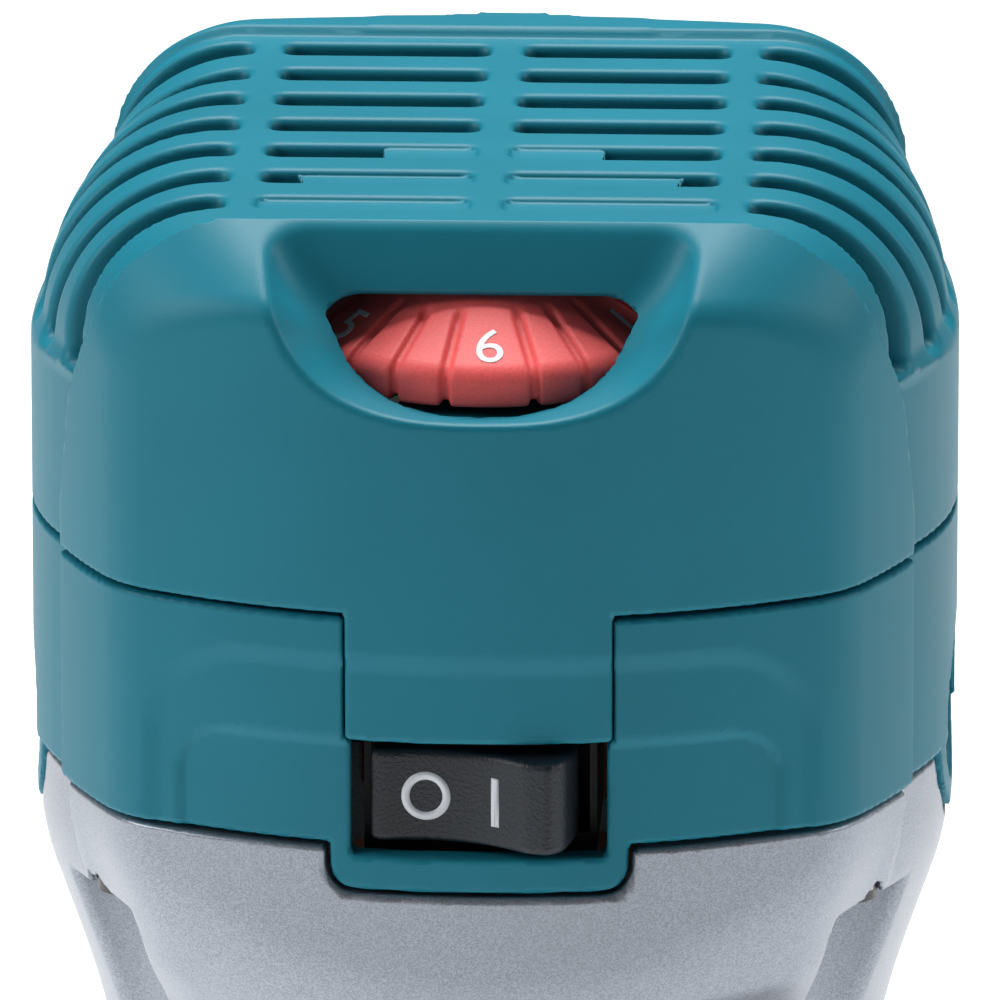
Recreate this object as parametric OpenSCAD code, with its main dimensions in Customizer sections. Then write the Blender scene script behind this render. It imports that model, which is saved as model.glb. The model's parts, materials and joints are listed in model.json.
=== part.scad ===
// Trim router: an electric motor unit with a four-sided head, held in a clamp base
// with rack-and-pinion depth setting. Millimetres, +Z up, the spindle on the Z axis,
// the sole of the base at Z = 0 and the switch and speed dial facing -Y.

/* [Overall] */
// Height from the sole to the top of the cap
total_h = 200; // [186:1:244]
// Diameter of the round motor barrel
barrel_d = 65; // [54:1:80]
// How far each side of the head stands out past the barrel
head_overhang = 6.7; // [5.6:0.1:9]
// Radius of the bowed faces of the head in plan
head_bow_r = 56; // [50:1:70]

/* [Head shells] */
// Height of the top cap, from its seam to its top
cap_h = 31.3; // [28:0.1:38]
// Height of the plastic housing between the cap and the metal body
mid_h = 20.1; // [18:0.1:24]
// Wall of the plastic shells
shell_t = 2.5; // [2:0.1:3]
// Radius of the cap's two long shoulders
shoulder_r = 18; // [14:0.5:21]
// Radius of the cap's front brow
brow_r = 14; // [10:0.5:17]
// Radius of the cap's rear edge
rear_r = 5; // [3:0.5:8]
// Gap shown between two shells at a seam
seam_gap = 0.35; // [0.2:0.05:0.6]

/* [Vents] */
// Number of vent rows, front to back
vent_rows = 7; // [4:1:7]
// Distance from one vent row to the next
vent_pitch = 8.2; // [7:0.1:8.4]
// Opening of one vent, front to back
vent_gap = 3.6; // [2.6:0.1:4.2]
// Length of a vent on the flat top
vent_len = 17.6; // [12:0.2:18]
// Web between the left and right vents on the top
vent_web = 3; // [2:0.2:6]

/* [Speed dial] */
// Diameter of the speed dial
dial_d = 32; // [26:0.5:36]
// Height of the dial's upright rim
dial_rim_h = 3; // [2:0.1:4]
// Height of the dial's sloping face
dial_slope_h = 4.8; // [3:0.1:6]
// Number of marks round the dial
dial_marks = 6; // [4:1:8]

/* [Switch] */
// Width of the switch opening
switch_w = 21.3; // [18:0.1:23]
// Height of the switch opening
switch_h = 9.9; // [8:0.1:12]
// Length of the rocker
rocker_w = 17.2; // [14:0.1:18]

/* [Spindle and collet] */
// Diameter of the tool shank that the collet grips
shank_d = 6.4; // [6:0.05:8.1]
// Width across the flats of the collet nut
nut_af = 22; // [19:0.5:24]
// Length of the collet nut
nut_h = 20; // [16:0.5:24]

/* [Motor] */
// Wall of the motor barrel
barrel_t = 5; // [4:0.1:6]
// Diameter of the armature
armature_d = 35.2; // [30:0.2:38]
// Diameter of the commutator
commutator_d = 23; // [18:0.5:26]

/* [Base] */
// Thickness of the sole plate
sole_t = 4; // [3:0.1:6]
// How far the sole stands out past the collar, on each side
sole_margin = 6; // [4:0.5:10]
// Thickness of the base's bottom flange
flange_t = 6; // [4:0.5:8]
// Height of the window under the collar
window_h = 52; // [46:1:54]
// Width of the window under the collar
window_w = 46; // [36:1:50]
// Height of the clamp collar
collar_h = 36; // [30:1:38]
// Wall of the clamp collar
collar_t = 6.4; // [5:0.1:8]
// Hole in the sole plate
sole_hole_d = 32; // [28:1:40]

/* [Depth drive] */
// Module of the rack and pinion
gear_m = 1; // [0.9:0.05:1.1]
// Teeth on the pinion
pinion_teeth = 12; // [10:1:13]
// Diameter of the depth knob
knob_d = 20; // [16:0.5:24]
// Height setting travel below the rest position
travel_down = 15; // [5:1:15]
// Height setting travel above the rest position
travel_up = 25; // [10:1:25]

/* [Hidden] */
$fn = 96;
eps = 0.02;
slide_gap = 0.1;    // radial, barrel in collar
run_gap = 0.05;     // radial, shaft in hole
free_gap = 0.4;     // round pieces that move past others

// Plan of the head and barrel
barrel_r = barrel_d / 2;
barrel_in = barrel_r - barrel_t;
head_w = barrel_d + 2 * head_overhang;
head_half = head_w / 2;
corner_r = head_half * 1.078;   // rounds the two front upright corners
corner_rear_r = head_half * 1.18;   // rounds the two rear upright corners
side_bow_r = 123;               // the sides are flatter behind the middle
rear_bow_r = 150;
skin_step = 0.4;                // the metal skirt sits back from the plastic

// Heights, from the top down
z_top = total_h;
z_cap = z_top - cap_h;
z_seam = z_cap - mid_h;
skirt_h = 11.6;
flare_h = 17;
z_skirt = z_seam - skirt_h;
z_flare = z_skirt - flare_h;
flare_top_r = 42.5 / 32.5 * barrel_d / 2;  // where the flare meets the seam
z_brush = z_seam + 2.2;

// Heights, from the sole up
z_flange = sole_t + flange_t;
z_collar = z_flange + window_h;
collar_top = z_collar + collar_h;
z_drive = z_collar + 22;        // pinion axis and clamp bolt
collar_in = barrel_r + slide_gap;
collar_r = collar_in + collar_t;
sole_w = 2 * (collar_r + sole_margin);
sole_corner = 11;

// Spindle stack, from the nose up
z_nose = 38;
nose_r = barrel_r - 4.5;
nose_h = 16;
bearing_z = z_nose + 3;
bearing_od = 32;
bearing_id = 15;
bearing_w = 9;
z_floor = bearing_z + bearing_w + 2;
z_lock = z_floor + 5;
lock_collar_r = 10;
lock_pin_r = 2.5;
lock_head_r = 5.4;
lock_head_t = 4;
lock_pocket_y = -(barrel_r - 9);
lock_spring_y = lock_pocket_y - 1;    // floor of the pocket that the spring stands on
lock_face_y = -(barrel_r - 0.7);
fan_z = z_lock + 10;
fan_h = 10;
baffle_z = fan_z + fan_h + 1.5;
baffle_t = 1.5;
armature_r = armature_d / 2;
commutator_r = commutator_d / 2;
commutator_h = 15.5;
commutator_z = z_brush - 7.8;
winding_h = 6;
core_z = baffle_z + baffle_t + winding_h + 2;
core_h = commutator_z - 2 * winding_h - 3 - core_z;
stator_r = barrel_in - 0.05;
stator_bore = armature_r + 0.7;
top_bearing_z = z_brush + 10.2;
top_bearing_w = 7;
top_bearing_r = 11;
top_journal_r = 4;
seat_t = 3;
shaft_r = 6;
nut_z = z_nose - 27;
nose_thread_r = 9;
collet_r = 6.4;
collet_h = 19;
nut_thread_depth = 15;

// Depth drive
pinion_r = gear_m * pinion_teeth / 2;
rack_add = 0.7 * gear_m;
pinion_add = 0.9 * gear_m;
gear_dedendum = 1.15 * gear_m;
tooth_pitch = PI * gear_m;
backlash = 0.24;
rack_tip_y = barrel_r - 0.5;
rack_pitch_y = rack_tip_y - rack_add;
rack_root_y = rack_pitch_y - gear_dedendum;
rack_back_y = rack_root_y - 1.3;
rack_w = 9;
scale_low = z_drive - 6;
scale_h = 40;
scale_t = 0.6;
scale_angle = 232;      // from the X axis
scale_span = 16;
rack_low = z_floor + 1;
rack_high = z_drive + travel_down + 5.5;
drive_y = rack_pitch_y + pinion_r;
drive_shaft_r = 3;
boss_r = 10.2;
boss_right = 23;
boss_left = -28;
knob_t = 13;
clip_t = 1;

// Clamp
lug_w = 9;
split_w = 2;
lug_reach = 15;
lug_h = 22;
bolt_x = collar_r + 8;
bolt_r = 3;
lug_y = split_w / 2 + lug_w;
saddle_t = 2;
cam_r = 8;
cam_throw = 0.6;        // how far the cam's centre lies off its pin
cam_y = -(lug_y + saddle_t + cam_r + cam_throw);
lever_h = 15;
lever_arm_in = collar_r + 2;
lever_arm_t = 5;
lever_pin_r = 2.5;
eye_r = 5;
eye_h = 7;
guide_hole_r = 2.5;
guide_pad_x = collar_r + 4;
guide_z = z_flange + 10;

// Sole screws
sole_screw_at = sole_w / 2 - 13.5;
sole_screw_r = 2;
sole_head_r = 4;

// Head details
vent_y0 = -20.2;                  // first vent row
vent_low = z_top - 16;            // lower end of the shoulder vents
vent_shoulder_x = vent_web / 2 + vent_len + 2.4;
dial_r = dial_d / 2;
dial_y = -20;
dial_z = z_top - 14.1;
dial_h = dial_rim_h + dial_slope_h;
dial_top_r = dial_r - 8;
dial_groove_w = 2;
dial_groove_d = 0.8;
scoop_r = dial_r + 2.2;
scoop_inner_r = dial_r - 1.2;
scoop_z = z_top + 0.4;
scoop_back_y = -29;
scoop_lip_y = -(head_half - 2.7);
switch_z = z_seam - 0.9 + switch_h / 2;
tongue_half = 12.4;
tongue_low = z_seam - 4;
cap_tongue_half = 11;
cap_tongue_low = switch_z + switch_h / 2;
side_tongue_r = 9.5;
brush_cap_r = 7;
brush_boss_x = head_half - 15;
brush_cap_in = head_half - 8.8;
brush_tube_w = 8.4;
brush_tube_h = 10.4;
brush_tube_t = 1;
rocker_h = 8;
rocker_pivot_y = -31.5;
rocker_x = -0.4;
rocker_pin_r = 1.2;
rocker_pin_l = 1.4;
switch_body_y = -33;
switch_body_d = 18;
switch_body_w = 19.4;
switch_body_h = 12.6;
gland_bulge_r = 18;
gland_out = 3;
gland_low = z_top - 25;
gland_r = 6.4;
gland_z = z_top - 13;
gland_y = head_half + gland_out;
screw_from_axis = head_half - 4;
screw_angle = 32;                 // from the X axis
screw_r = 1.9;
screw_head_r = 3;
screw_head_h = 2.6;
screw_boss_r = 4.2;
screw_top = z_top - 20;
screw_pocket_z = z_seam - 9.9;
pocket_r = 6.2;
pocket_from_axis = screw_from_axis + 3;
board_z = z_cap + 3.3;
board_t = 1.6;
board_w = 28;
board_d = 56;
pot_r = 8;
pot_h = 6.4;
pot_shaft_r = 3;

// ---------- shapes that repeat ----------

// A cylinder along Y whose low end is at y
module along_y(r, y, length, r2 = undef) {
    translate([0, y, 0])
        rotate([-90, 0, 0])
            cylinder(r1 = r, r2 = is_undef(r2) ? r : r2, h = length);
}

// A cylinder along X whose low end is at x
module along_x(r, x, length) {
    translate([x, 0, 0])
        rotate([0, 90, 0])
            cylinder(r = r, h = length);
}

// A washer-shaped solid
module ring(r_out, r_in, h) {
    difference() {
        cylinder(r = r_out, h = h);
        translate([0, 0, -1]) cylinder(r = r_in, h = h + 2);
    }
}

// A square with round corners, centred
module round_square(w, r) {
    inner = w - 2 * r;
    union() {
        square([w, inner], center = true);
        square([inner, w], center = true);
        for (x = [-1, 1], y = [-1, 1])
            translate([x * inner / 2, y * inner / 2]) circle(r = r);
    }
}

// The four-sided plan of the head with bowed faces, drawn in by inset
module head_plan(inset = 0) {
    bow = head_bow_r - inset;
    back = head_bow_r - head_half;
    side_back = side_bow_r - head_half;
    rear_back = rear_bow_r - head_half;
    union() {
        intersection() {
            translate([0, back]) circle(r = bow);
            translate([back, 0]) circle(r = bow);
            translate([-back, 0]) circle(r = bow);
            circle(r = corner_r - inset);
            translate([-head_w, -head_w]) square([2 * head_w, head_w + eps]);
        }
        intersection() {
            translate([0, -rear_back]) circle(r = rear_bow_r - inset);
            translate([side_back, 0]) circle(r = side_bow_r - inset);
            translate([-side_back, 0]) circle(r = side_bow_r - inset);
            circle(r = corner_rear_r - inset);
            translate([-head_w, 0]) square([2 * head_w, head_w]);
        }
    }
}

// A tall rectangle whose top corners are round, the left by r and the right by r_right
module arch(half, top, r, r_right) {
    high = max(r, r_right);
    union() {
        translate([-half, 0]) square([2 * half, top - high]);
        translate([-half + r, 0]) square([2 * half - r - r_right, top]);
        translate([0, top - high]) square([half, high - r_right]);
        translate([-half + r, top - r]) circle(r = r);
        translate([half - r_right, top - r_right]) circle(r = r_right);
    }
}

// The solid of the head between two heights, drawn in by inset
module head_block(inset, z0, z1) {
    long = head_w + 20;
    intersection() {
        translate([0, 0, z0]) linear_extrude(z1 - z0) head_plan(inset);
        rotate([90, 0, 0])
            linear_extrude(long, center = true)
                arch(head_half + 0.01 - inset, z_top - inset, shoulder_r - inset, shoulder_r - inset);
        rotate([90, 0, 90])
            linear_extrude(long, center = true)
                arch(head_half + 0.02 - inset, z_top - inset, brow_r - inset, rear_r - inset);
    }
}

// Places its child at the four housing screws, or at reach from the axis in line with them
module at_screws(reach = screw_from_axis) {
    for (x = [-1, 1], y = [-1, 1])
        translate([x * reach * cos(screw_angle), y * reach * sin(screw_angle), 0]) children();
}

// A hexagonal prism by its width across flats
module hex(af, h) {
    cylinder(r = af / sqrt(3), h = h, $fn = 6);
}

// ---------- base ----------

// Places its child at the four sole screws
module at_sole_screws() {
    for (x = [-1, 1], y = [-1, 1])
        translate([x * sole_screw_at, y * sole_screw_at, 0]) children();
}

// The flat plate that slides on the work
module base_plate() {
    color("#1c1d1f")
    difference() {
        linear_extrude(sole_t) round_square(sole_w, sole_corner);
        translate([0, 0, -1]) cylinder(r = sole_hole_d / 2, h = sole_t + 2);
        at_sole_screws() {
            translate([0, 0, -1]) cylinder(r = sole_screw_r + 0.2, h = sole_t + 2);
            translate([0, 0, -eps]) cylinder(r1 = sole_head_r + 0.3, r2 = sole_screw_r + 0.2, h = 2.3);
        }
    }
}

// Countersunk screws through the plate into the flange
module base_screws() {
    color("#b9bcc0")
    at_sole_screws() difference() {
        union() {
            translate([0, 0, 0.4]) cylinder(r1 = sole_head_r - 0.1, r2 = sole_screw_r, h = 1.8);
            translate([0, 0, 2]) cylinder(r = sole_screw_r, h = sole_t + 2);
        }
        for (a = [0, 90]) rotate([0, 0, a])
            translate([-2.2, -0.45, 0.2]) cube([4.4, 0.9, 1.2]);
    }
}

// The window through the base, front to back, with round top corners
module window_cut() {
    r = 10;
    rotate([90, 0, 0]) linear_extrude(sole_w + 4, center = true) union() {
        translate([-window_w / 2, z_flange]) square([window_w, window_h - r]);
        translate([-window_w / 2 + r, z_flange]) square([window_w - 2 * r, window_h]);
        for (x = [-1, 1])
            translate([x * (window_w / 2 - r), z_collar - r]) circle(r = r);
    }
}

// The cast base: flange, two legs and the split clamp collar
module base_casting() {
    color("#b4b7bb")
    difference() {
        union() {
            translate([0, 0, sole_t]) linear_extrude(flange_t) round_square(sole_w - 2, sole_corner - 1);
            translate([0, 0, sole_t]) cylinder(r = collar_r, h = collar_top - sole_t);
            translate([collar_r - 4, -lug_y, z_drive - lug_h / 2]) cube([lug_reach + 4, 2 * lug_y, lug_h]);
            translate([0, drive_y, z_drive]) along_x(boss_r, boss_left, boss_right - boss_left);
            translate([-guide_pad_x, -9, z_flange - 1]) cube([8, 18, 21]);
        }
        translate([0, 0, -1]) cylinder(r = collar_in, h = collar_top + 2);
        window_cut();
        translate([0, -split_w / 2, z_collar - 4]) cube([bolt_x + lug_reach + 5, split_w, collar_h + 5]);
        translate([bolt_x, 0, z_drive]) along_y(bolt_r + run_gap, -lug_y - 1, 2 * lug_y + 2);
        translate([0, drive_y, z_drive]) {
            along_x(pinion_r + pinion_add + 0.4, -rack_w / 2 - 0.6, rack_w + 1.2);
            along_x(drive_shaft_r + run_gap, boss_left - 1, boss_right - boss_left + 2);
        }
        translate([0, 0, guide_z]) along_x(guide_hole_r, -guide_pad_x - 1, guide_pad_x - collar_in + 4);
        at_sole_screws() translate([0, 0, sole_t - 1]) cylinder(r = sole_screw_r, h = flange_t + 2);
    }
}

// The eye bolt that draws the two lugs together
module clamp_bolt() {
    color("#9a9da2")
    translate([bolt_x, 0, z_drive]) difference() {
        union() {
            along_y(bolt_r, cam_y + eye_r - 1, lug_y + 10 - cam_y - eye_r);
            translate([0, cam_y, -eye_h / 2]) cylinder(r = eye_r, h = eye_h);
        }
        translate([0, cam_y, -eye_h]) cylinder(r = lever_pin_r, h = 2 * eye_h);
    }
}

// The hexagonal nut that sets the clamping force
module clamp_nut() {
    color("#8d9095")
    translate([bolt_x, lug_y + 0.05, z_drive]) rotate([-90, 0, 0]) difference() {
        hex(10, 5);
        translate([0, 0, -1]) cylinder(r = bolt_r + 0.02, h = 7);
    }
}

// The wear plate that the lever's cam bears on
module cam_saddle() {
    color("#2a2b2d")
    translate([bolt_x, 0, z_drive]) difference() {
        translate([-7, -lug_y - saddle_t + 0.1, -8]) cube([14, saddle_t - 0.1, 16]);
        along_y(bolt_r + 0.3, -lug_y - saddle_t - 1, saddle_t + 2);
    }
}

// The cam lever, whose arm lies round the front of the collar
module lock_lever() {
    arm_from = -84;
    arm_span = 58;
    color("#232427")
    translate([0, 0, z_drive - lever_h / 2]) difference() {
        union() {
            translate([bolt_x, cam_y + cam_throw, 0]) cylinder(r = cam_r, h = lever_h);
            rotate([0, 0, arm_from]) rotate_extrude(angle = arm_span)
                translate([lever_arm_in, 0]) square([lever_arm_t, lever_h]);
            rotate([0, 0, arm_from])
                translate([lever_arm_in + lever_arm_t / 2, 0, 0]) cylinder(r = lever_arm_t / 2, h = lever_h);
        }
        translate([bolt_x, cam_y, 0]) {
            translate([0, 0, -1]) cylinder(r = lever_pin_r + run_gap, h = lever_h + 2);
            translate([0, 0, (lever_h - eye_h) / 2 - 0.3]) {
                cylinder(r = eye_r + 0.5, h = eye_h + 0.6);
                translate([-bolt_r - 0.5, -bolt_r - 0.7, 0]) cube([cam_r + bolt_r + 3, cam_r + bolt_r + 4, eye_h + 0.6]);
            }
        }
    }
}

// The pin that the lever turns on
module lever_pin() {
    color("#c3c6ca")
    translate([bolt_x, cam_y, z_drive - lever_h / 2 + 0.3]) cylinder(r = lever_pin_r, h = lever_h - 0.6);
}

// ---------- depth drive ----------

// Involute function of a pressure angle, in degrees
function involute(a) = tan(a) * 180 / PI - a;

// Half the angle of a pinion tooth at radius r, in degrees
function tooth_half(r) =
    90 / pinion_teeth - backlash / 4 / pinion_r * 180 / PI + involute(20)
    - involute(acos(min(1, pinion_r * cos(20) / r)));

// One pinion tooth pointing along +X
module pinion_tooth() {
    base_r = pinion_r * cos(20);
    tip_r = pinion_r + pinion_add;
    root_r = pinion_r - gear_dedendum + 0.1;
    steps = 5;
    flank = [for (i = [0:steps]) base_r + (tip_r - base_r) * i / steps];
    upper = [for (r = flank) [r * cos(tooth_half(r)), r * sin(tooth_half(r))]];
    lower = [for (i = [steps:-1:0]) [upper[i][0], -upper[i][1]]];
    foot = (root_r - 0.4) * sin(tooth_half(base_r));
    polygon(concat([[root_r - 0.4, foot]], upper, lower, [[root_r - 0.4, -foot]]));
}

// The shaft with the pinion cut on it
module pinion_shaft() {
    color("#a7aab0")
    translate([0, drive_y, z_drive]) {
        along_x(drive_shaft_r, boss_left - knob_t + 2, -rack_w / 2 - (boss_left - knob_t + 2));
        translate([-rack_w / 2, 0, 0]) rotate([0, 90, 0]) linear_extrude(rack_w) union() {
            circle(r = pinion_r - gear_dedendum + 0.1);
            for (i = [0:pinion_teeth - 1])
                rotate([0, 0, 270 + i * 360 / pinion_teeth]) pinion_tooth();
        }
        along_x(drive_shaft_r, rack_w / 2, boss_right + 3 - rack_w / 2);
    }
}

// The knob that turns the pinion
module depth_knob() {
    flutes = 18;
    color("#26282b")
    translate([boss_left - 0.6 - knob_t, drive_y, z_drive]) rotate([0, 90, 0]) difference() {
        cylinder(r = knob_d / 2, h = knob_t);
        translate([0, 0, 2.6]) cylinder(r = drive_shaft_r, h = knob_t);
        translate([0, 0, -1]) cylinder(r = 1.6, h = knob_t);
        translate([0, 0, -eps]) cylinder(r = 3.4, h = 1.4);
        for (i = [0:flutes - 1]) rotate([0, 0, i * 360 / flutes])
            translate([knob_d / 2 + 0.3, 0, -1]) cylinder(r = 1, h = knob_t - 2);
    }
}

// The screw that holds the knob
module knob_screw() {
    color("#c3c6ca")
    translate([boss_left - 0.6 - knob_t, drive_y, z_drive]) rotate([0, 90, 0]) difference() {
        union() {
            translate([0, 0, 0.1]) cylinder(r = 3.1, h = 1.2);
            translate([0, 0, 1.2]) cylinder(r = 1.5, h = 1.38);
        }
        for (a = [0, 90]) rotate([0, 0, a]) translate([-1.7, -0.35, 0]) cube([3.4, 0.7, 0.9]);
    }
}

// The clip on the far end of the shaft
module shaft_clip() {
    color("#6f7276")
    translate([boss_right + 0.8, drive_y, z_drive]) rotate([0, 90, 0]) difference() {
        ring(5.2, drive_shaft_r, clip_t);
        translate([0, -2, -1]) cube([6, 4, clip_t + 2]);
    }
}

// The rack let into the back of the barrel
module depth_rack() {
    half_tip = tooth_pitch / 4 - backlash / 4 - rack_add * tan(20);
    half_root = half_tip + (rack_tip_y - rack_root_y) * tan(20);
    first = ceil((rack_low - z_drive) / tooth_pitch);
    last = floor((rack_high - z_drive) / tooth_pitch) - 1;
    color("#9a9da2")
    difference() {
        union() {
            translate([-rack_w / 2, rack_back_y, rack_low]) cube([rack_w, rack_root_y - rack_back_y, rack_high - rack_low]);
            for (i = [first:last]) translate([rack_w / 2, 0, z_drive + (i + 0.5) * tooth_pitch])
                rotate([0, -90, 0]) linear_extrude(rack_w) polygon([
                    [-half_root, rack_root_y - 0.3], [half_root, rack_root_y - 0.3],
                    [half_root, rack_root_y], [half_tip, rack_tip_y],
                    [-half_tip, rack_tip_y], [-half_root, rack_root_y]]);
        }
        for (z = [rack_low + 3, rack_high - 3])
            translate([0, 0, z]) along_y(1.3, rack_back_y - 1, 6);
    }
}

// The two screws that hold the rack
module rack_screws() {
    color("#c3c6ca")
    for (z = [rack_low + 3, rack_high - 3]) translate([0, 0, z])
        along_y(1.25, rack_back_y, rack_root_y - rack_back_y);
}

// ---------- motor housing ----------

// The cone that draws the head's plan down to the round barrel, drawn in by inset
module flare_cone(inset) {
    translate([0, 0, z_flare]) cylinder(r1 = barrel_r - inset, r2 = flare_top_r - inset, h = flare_h + skirt_h);
    translate([0, 0, z_seam - eps]) cylinder(r = flare_top_r - inset, h = skirt_h);
}

// The metal skirt under the plastic head, drawn in by inset
module skirt(inset, low, high) {
    intersection() {
        translate([0, 0, low]) linear_extrude(high - low) head_plan(skin_step + inset);
        flare_cone(inset);
    }
}

// The strip for the depth marks, let into the barrel's skin at the front left, grown by gap
module scale_strip(gap) {
    turn = gap * 2;
    translate([0, 0, scale_low - gap]) rotate([0, 0, scale_angle - turn / 2]) rotate_extrude(angle = scale_span + turn)
        translate([barrel_r - scale_t - gap, 0]) square([scale_t + gap * 3, scale_h + 2 * gap]);
}

// The strip with the depth marks
module depth_scale() {
    color("#e8e9ea") intersection() {
        scale_strip(0);
        translate([0, 0, scale_low - 1]) cylinder(r = barrel_r - 0.02, h = scale_h + 2);
    }
}

// The outline of the switch tongue at the front, grown by gap
module front_tongue(gap) {
    translate([-tongue_half - gap, -head_half - 2, tongue_low - gap])
        cube([2 * (tongue_half + gap), 16, z_cap - tongue_low + gap]);
}

// The outline of the brush tongues at both sides, grown by gap
module side_tongues(gap) {
    for (s = [0, 180]) rotate([0, 0, s]) translate([0, 0, z_brush]) {
        along_x(side_tongue_r + gap, barrel_in, head_half - barrel_in + 2);
        translate([barrel_in, -side_tongue_r - gap, 0])
            cube([head_half - barrel_in + 2, 2 * (side_tongue_r + gap), mid_h]);
    }
}

// The die-cast body: nose, barrel, flare and skirt
module motor_housing() {
    exhaust_n = 6;
    color("#b9bbbf")
    difference() {
        union() {
            translate([0, 0, z_nose]) cylinder(r = nose_r, h = nose_h - 4);
            translate([0, 0, z_nose + nose_h - 4 - eps]) cylinder(r1 = nose_r, r2 = barrel_r, h = 4);
            translate([0, 0, z_nose + nose_h - eps]) cylinder(r = barrel_r, h = z_flare - z_nose - nose_h + 1);
            skirt(0, z_flare, z_seam - seam_gap);
        }
        difference() {
            union() {
                translate([0, 0, z_floor]) cylinder(r = barrel_in, h = z_skirt - z_floor + 1);
                skirt(3.5, z_flare + 4, z_seam + 1);
            }
            translate([0, 0, z_lock]) along_y(lock_head_r + 2.1, -barrel_r - 1, barrel_r + 2 + lock_pocket_y);
            at_screws() translate([0, 0, z_flare]) cylinder(r = screw_boss_r, h = z_seam - z_flare);
            at_screws(pocket_from_axis) translate([0, 0, z_flare]) cylinder(r = pocket_r + 2.4, h = screw_pocket_z + 2.4 - z_flare);
        }
        translate([0, 0, z_nose - 1]) cylinder(r = lock_collar_r + 1, h = z_floor - z_nose + 2);
        translate([0, 0, bearing_z]) cylinder(r = bearing_od / 2, h = bearing_w);
        translate([0, 0, z_nose - 1]) cylinder(r = bearing_od / 2 + 4.2, h = bearing_z - z_nose + 1);
        for (i = [0:exhaust_n - 1]) rotate([0, 0, i * 360 / exhaust_n])
            translate([bearing_od / 2 + 8, 0, z_nose - 1]) cylinder(r = 2.6, h = z_floor - z_nose + 2);
        for (i = [0:2]) rotate([0, 0, 30 + i * 120])
            translate([bearing_od / 2 + 2, 0, bearing_z - 1]) cylinder(r = 1.2, h = 8);
        translate([0, 0, z_lock]) {
            along_y(lock_head_r + 0.2, -barrel_r - 2, barrel_r + 2 + lock_spring_y);
            along_y(lock_pin_r + run_gap, -barrel_r, barrel_r - 15);
        }
        translate([-rack_w / 2 - 0.05, rack_back_y, rack_low - 0.05])
            cube([rack_w + 0.1, 8, rack_high - rack_low + 0.1]);
        intersection() {
            front_tongue(seam_gap);
            translate([0, 0, z_flare]) cylinder(r = corner_r + 5, h = 60);
        }
        side_tongues(seam_gap);
        at_screws(pocket_from_axis) translate([0, 0, z_flare - 4])
            cylinder(r = pocket_r, h = screw_pocket_z - z_flare + 4);
        at_screws() translate([0, 0, z_flare]) cylinder(r = screw_r + 0.15, h = 40);
        at_screws() translate([0, 0, screw_pocket_z - 1]) cylinder(r = screw_head_r + 0.15, h = screw_head_h + 1);
        scale_strip(0.05);
    }
}

// ---------- plastic head ----------

// The shell of the head between two heights
module head_shell(z0, z1) {
    difference() {
        head_block(0, z0, z1);
        head_block(shell_t, z0 - 1, z1 + 1);
    }
}

// The part of the shell under the seam that the two kinds of tongue keep
module tongue_shell() {
    intersection() {
        difference() {
            translate([0, 0, tongue_low]) linear_extrude(z_seam - tongue_low + 1) head_plan(0);
            translate([0, 0, tongue_low - 1]) linear_extrude(z_seam - tongue_low + 3) head_plan(shell_t + 1.2);
        }
        front_tongue(0);
    }
    intersection() {
        difference() {
            translate([0, 0, z_seam - 20]) linear_extrude(21) head_plan(0);
            translate([0, 0, z_seam - 21]) linear_extrude(24) head_plan(shell_t);
        }
        side_tongues(0);
        translate([0, 0, z_brush]) for (s = [0, 180]) rotate([0, 0, s])
            along_x(side_tongue_r, barrel_in, head_half);
    }
}

// The plastic housing with the switch opening, brush tongues and top bearing seat
module upper_housing() {
    color("#1f7f8c")
    difference() {
        union() {
            head_shell(z_seam, z_cap - seam_gap);
            tongue_shell();
            translate([0, 0, top_bearing_z - 1]) cylinder(r = top_bearing_r + seat_t, h = top_bearing_w + 1);
            intersection() {
                union() {
                    for (a = [45:90:315]) rotate([0, 0, a]) translate([top_bearing_r + 1, -1.5, top_bearing_z - 1])
                        cube([corner_r - top_bearing_r, 3, top_bearing_w]);
                    at_screws() translate([0, 0, z_seam - seam_gap]) cylinder(r = screw_boss_r, h = mid_h);
                }
                head_block(shell_t / 2, z_seam - seam_gap, z_cap - seam_gap);
            }
            for (s = [0, 180]) rotate([0, 0, s]) translate([0, 0, z_brush])
                along_x(brush_cap_r + 1.6, brush_boss_x, head_half - brush_boss_x - 1.2);
            for (a = [45:90:315]) rotate([0, 0, a])
                translate([top_bearing_r + seat_t / 2, 0, top_bearing_z]) cylinder(r = seat_t / 2, h = board_z - top_bearing_z);
            for (s = [-1, 1]) translate([s * (switch_body_w / 2 + 1) - 1, -head_half + shell_t - 1, switch_z - 3])
                cube([2, head_half - shell_t + 1 - 16, 6]);
        }
        translate([0, 0, top_bearing_z]) cylinder(r = top_bearing_r, h = top_bearing_w + 1);
        translate([0, 0, top_bearing_z - 2]) cylinder(r = top_bearing_r - 2, h = 4);
        translate([-switch_w / 2, -head_half - 2, switch_z - switch_h / 2]) cube([switch_w, 8.2, switch_h + eps]);
        translate([-cap_tongue_half - 0.15, -head_half - 2, cap_tongue_low])
            cube([2 * cap_tongue_half + 0.3, 8.2, z_cap - cap_tongue_low + 1]);
        for (s = [0, 180]) rotate([0, 0, s]) translate([0, 0, z_brush])
            along_x(brush_cap_r + run_gap, brush_cap_in, 10);
        at_brushes() translate([brush_boss_x - 1, -brush_tube_w / 2, -brush_tube_h / 2])
            cube([brush_cap_in - brush_boss_x + 1.5, brush_tube_w, brush_tube_h]);
        at_screws() translate([0, 0, z_seam - 1]) cylinder(r = screw_r + 0.15, h = mid_h + 2);
    }
}

// One vent on the flat top: a slot with round ends, cut through the wall
module top_vent() {
    r = vent_gap / 2;
    linear_extrude(shell_t * 4, center = true) union() {
        square([vent_len - 2 * r, vent_gap], center = true);
        for (x = [-1, 1]) translate([x * (vent_len / 2 - r), 0]) circle(r = r);
    }
}

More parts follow.
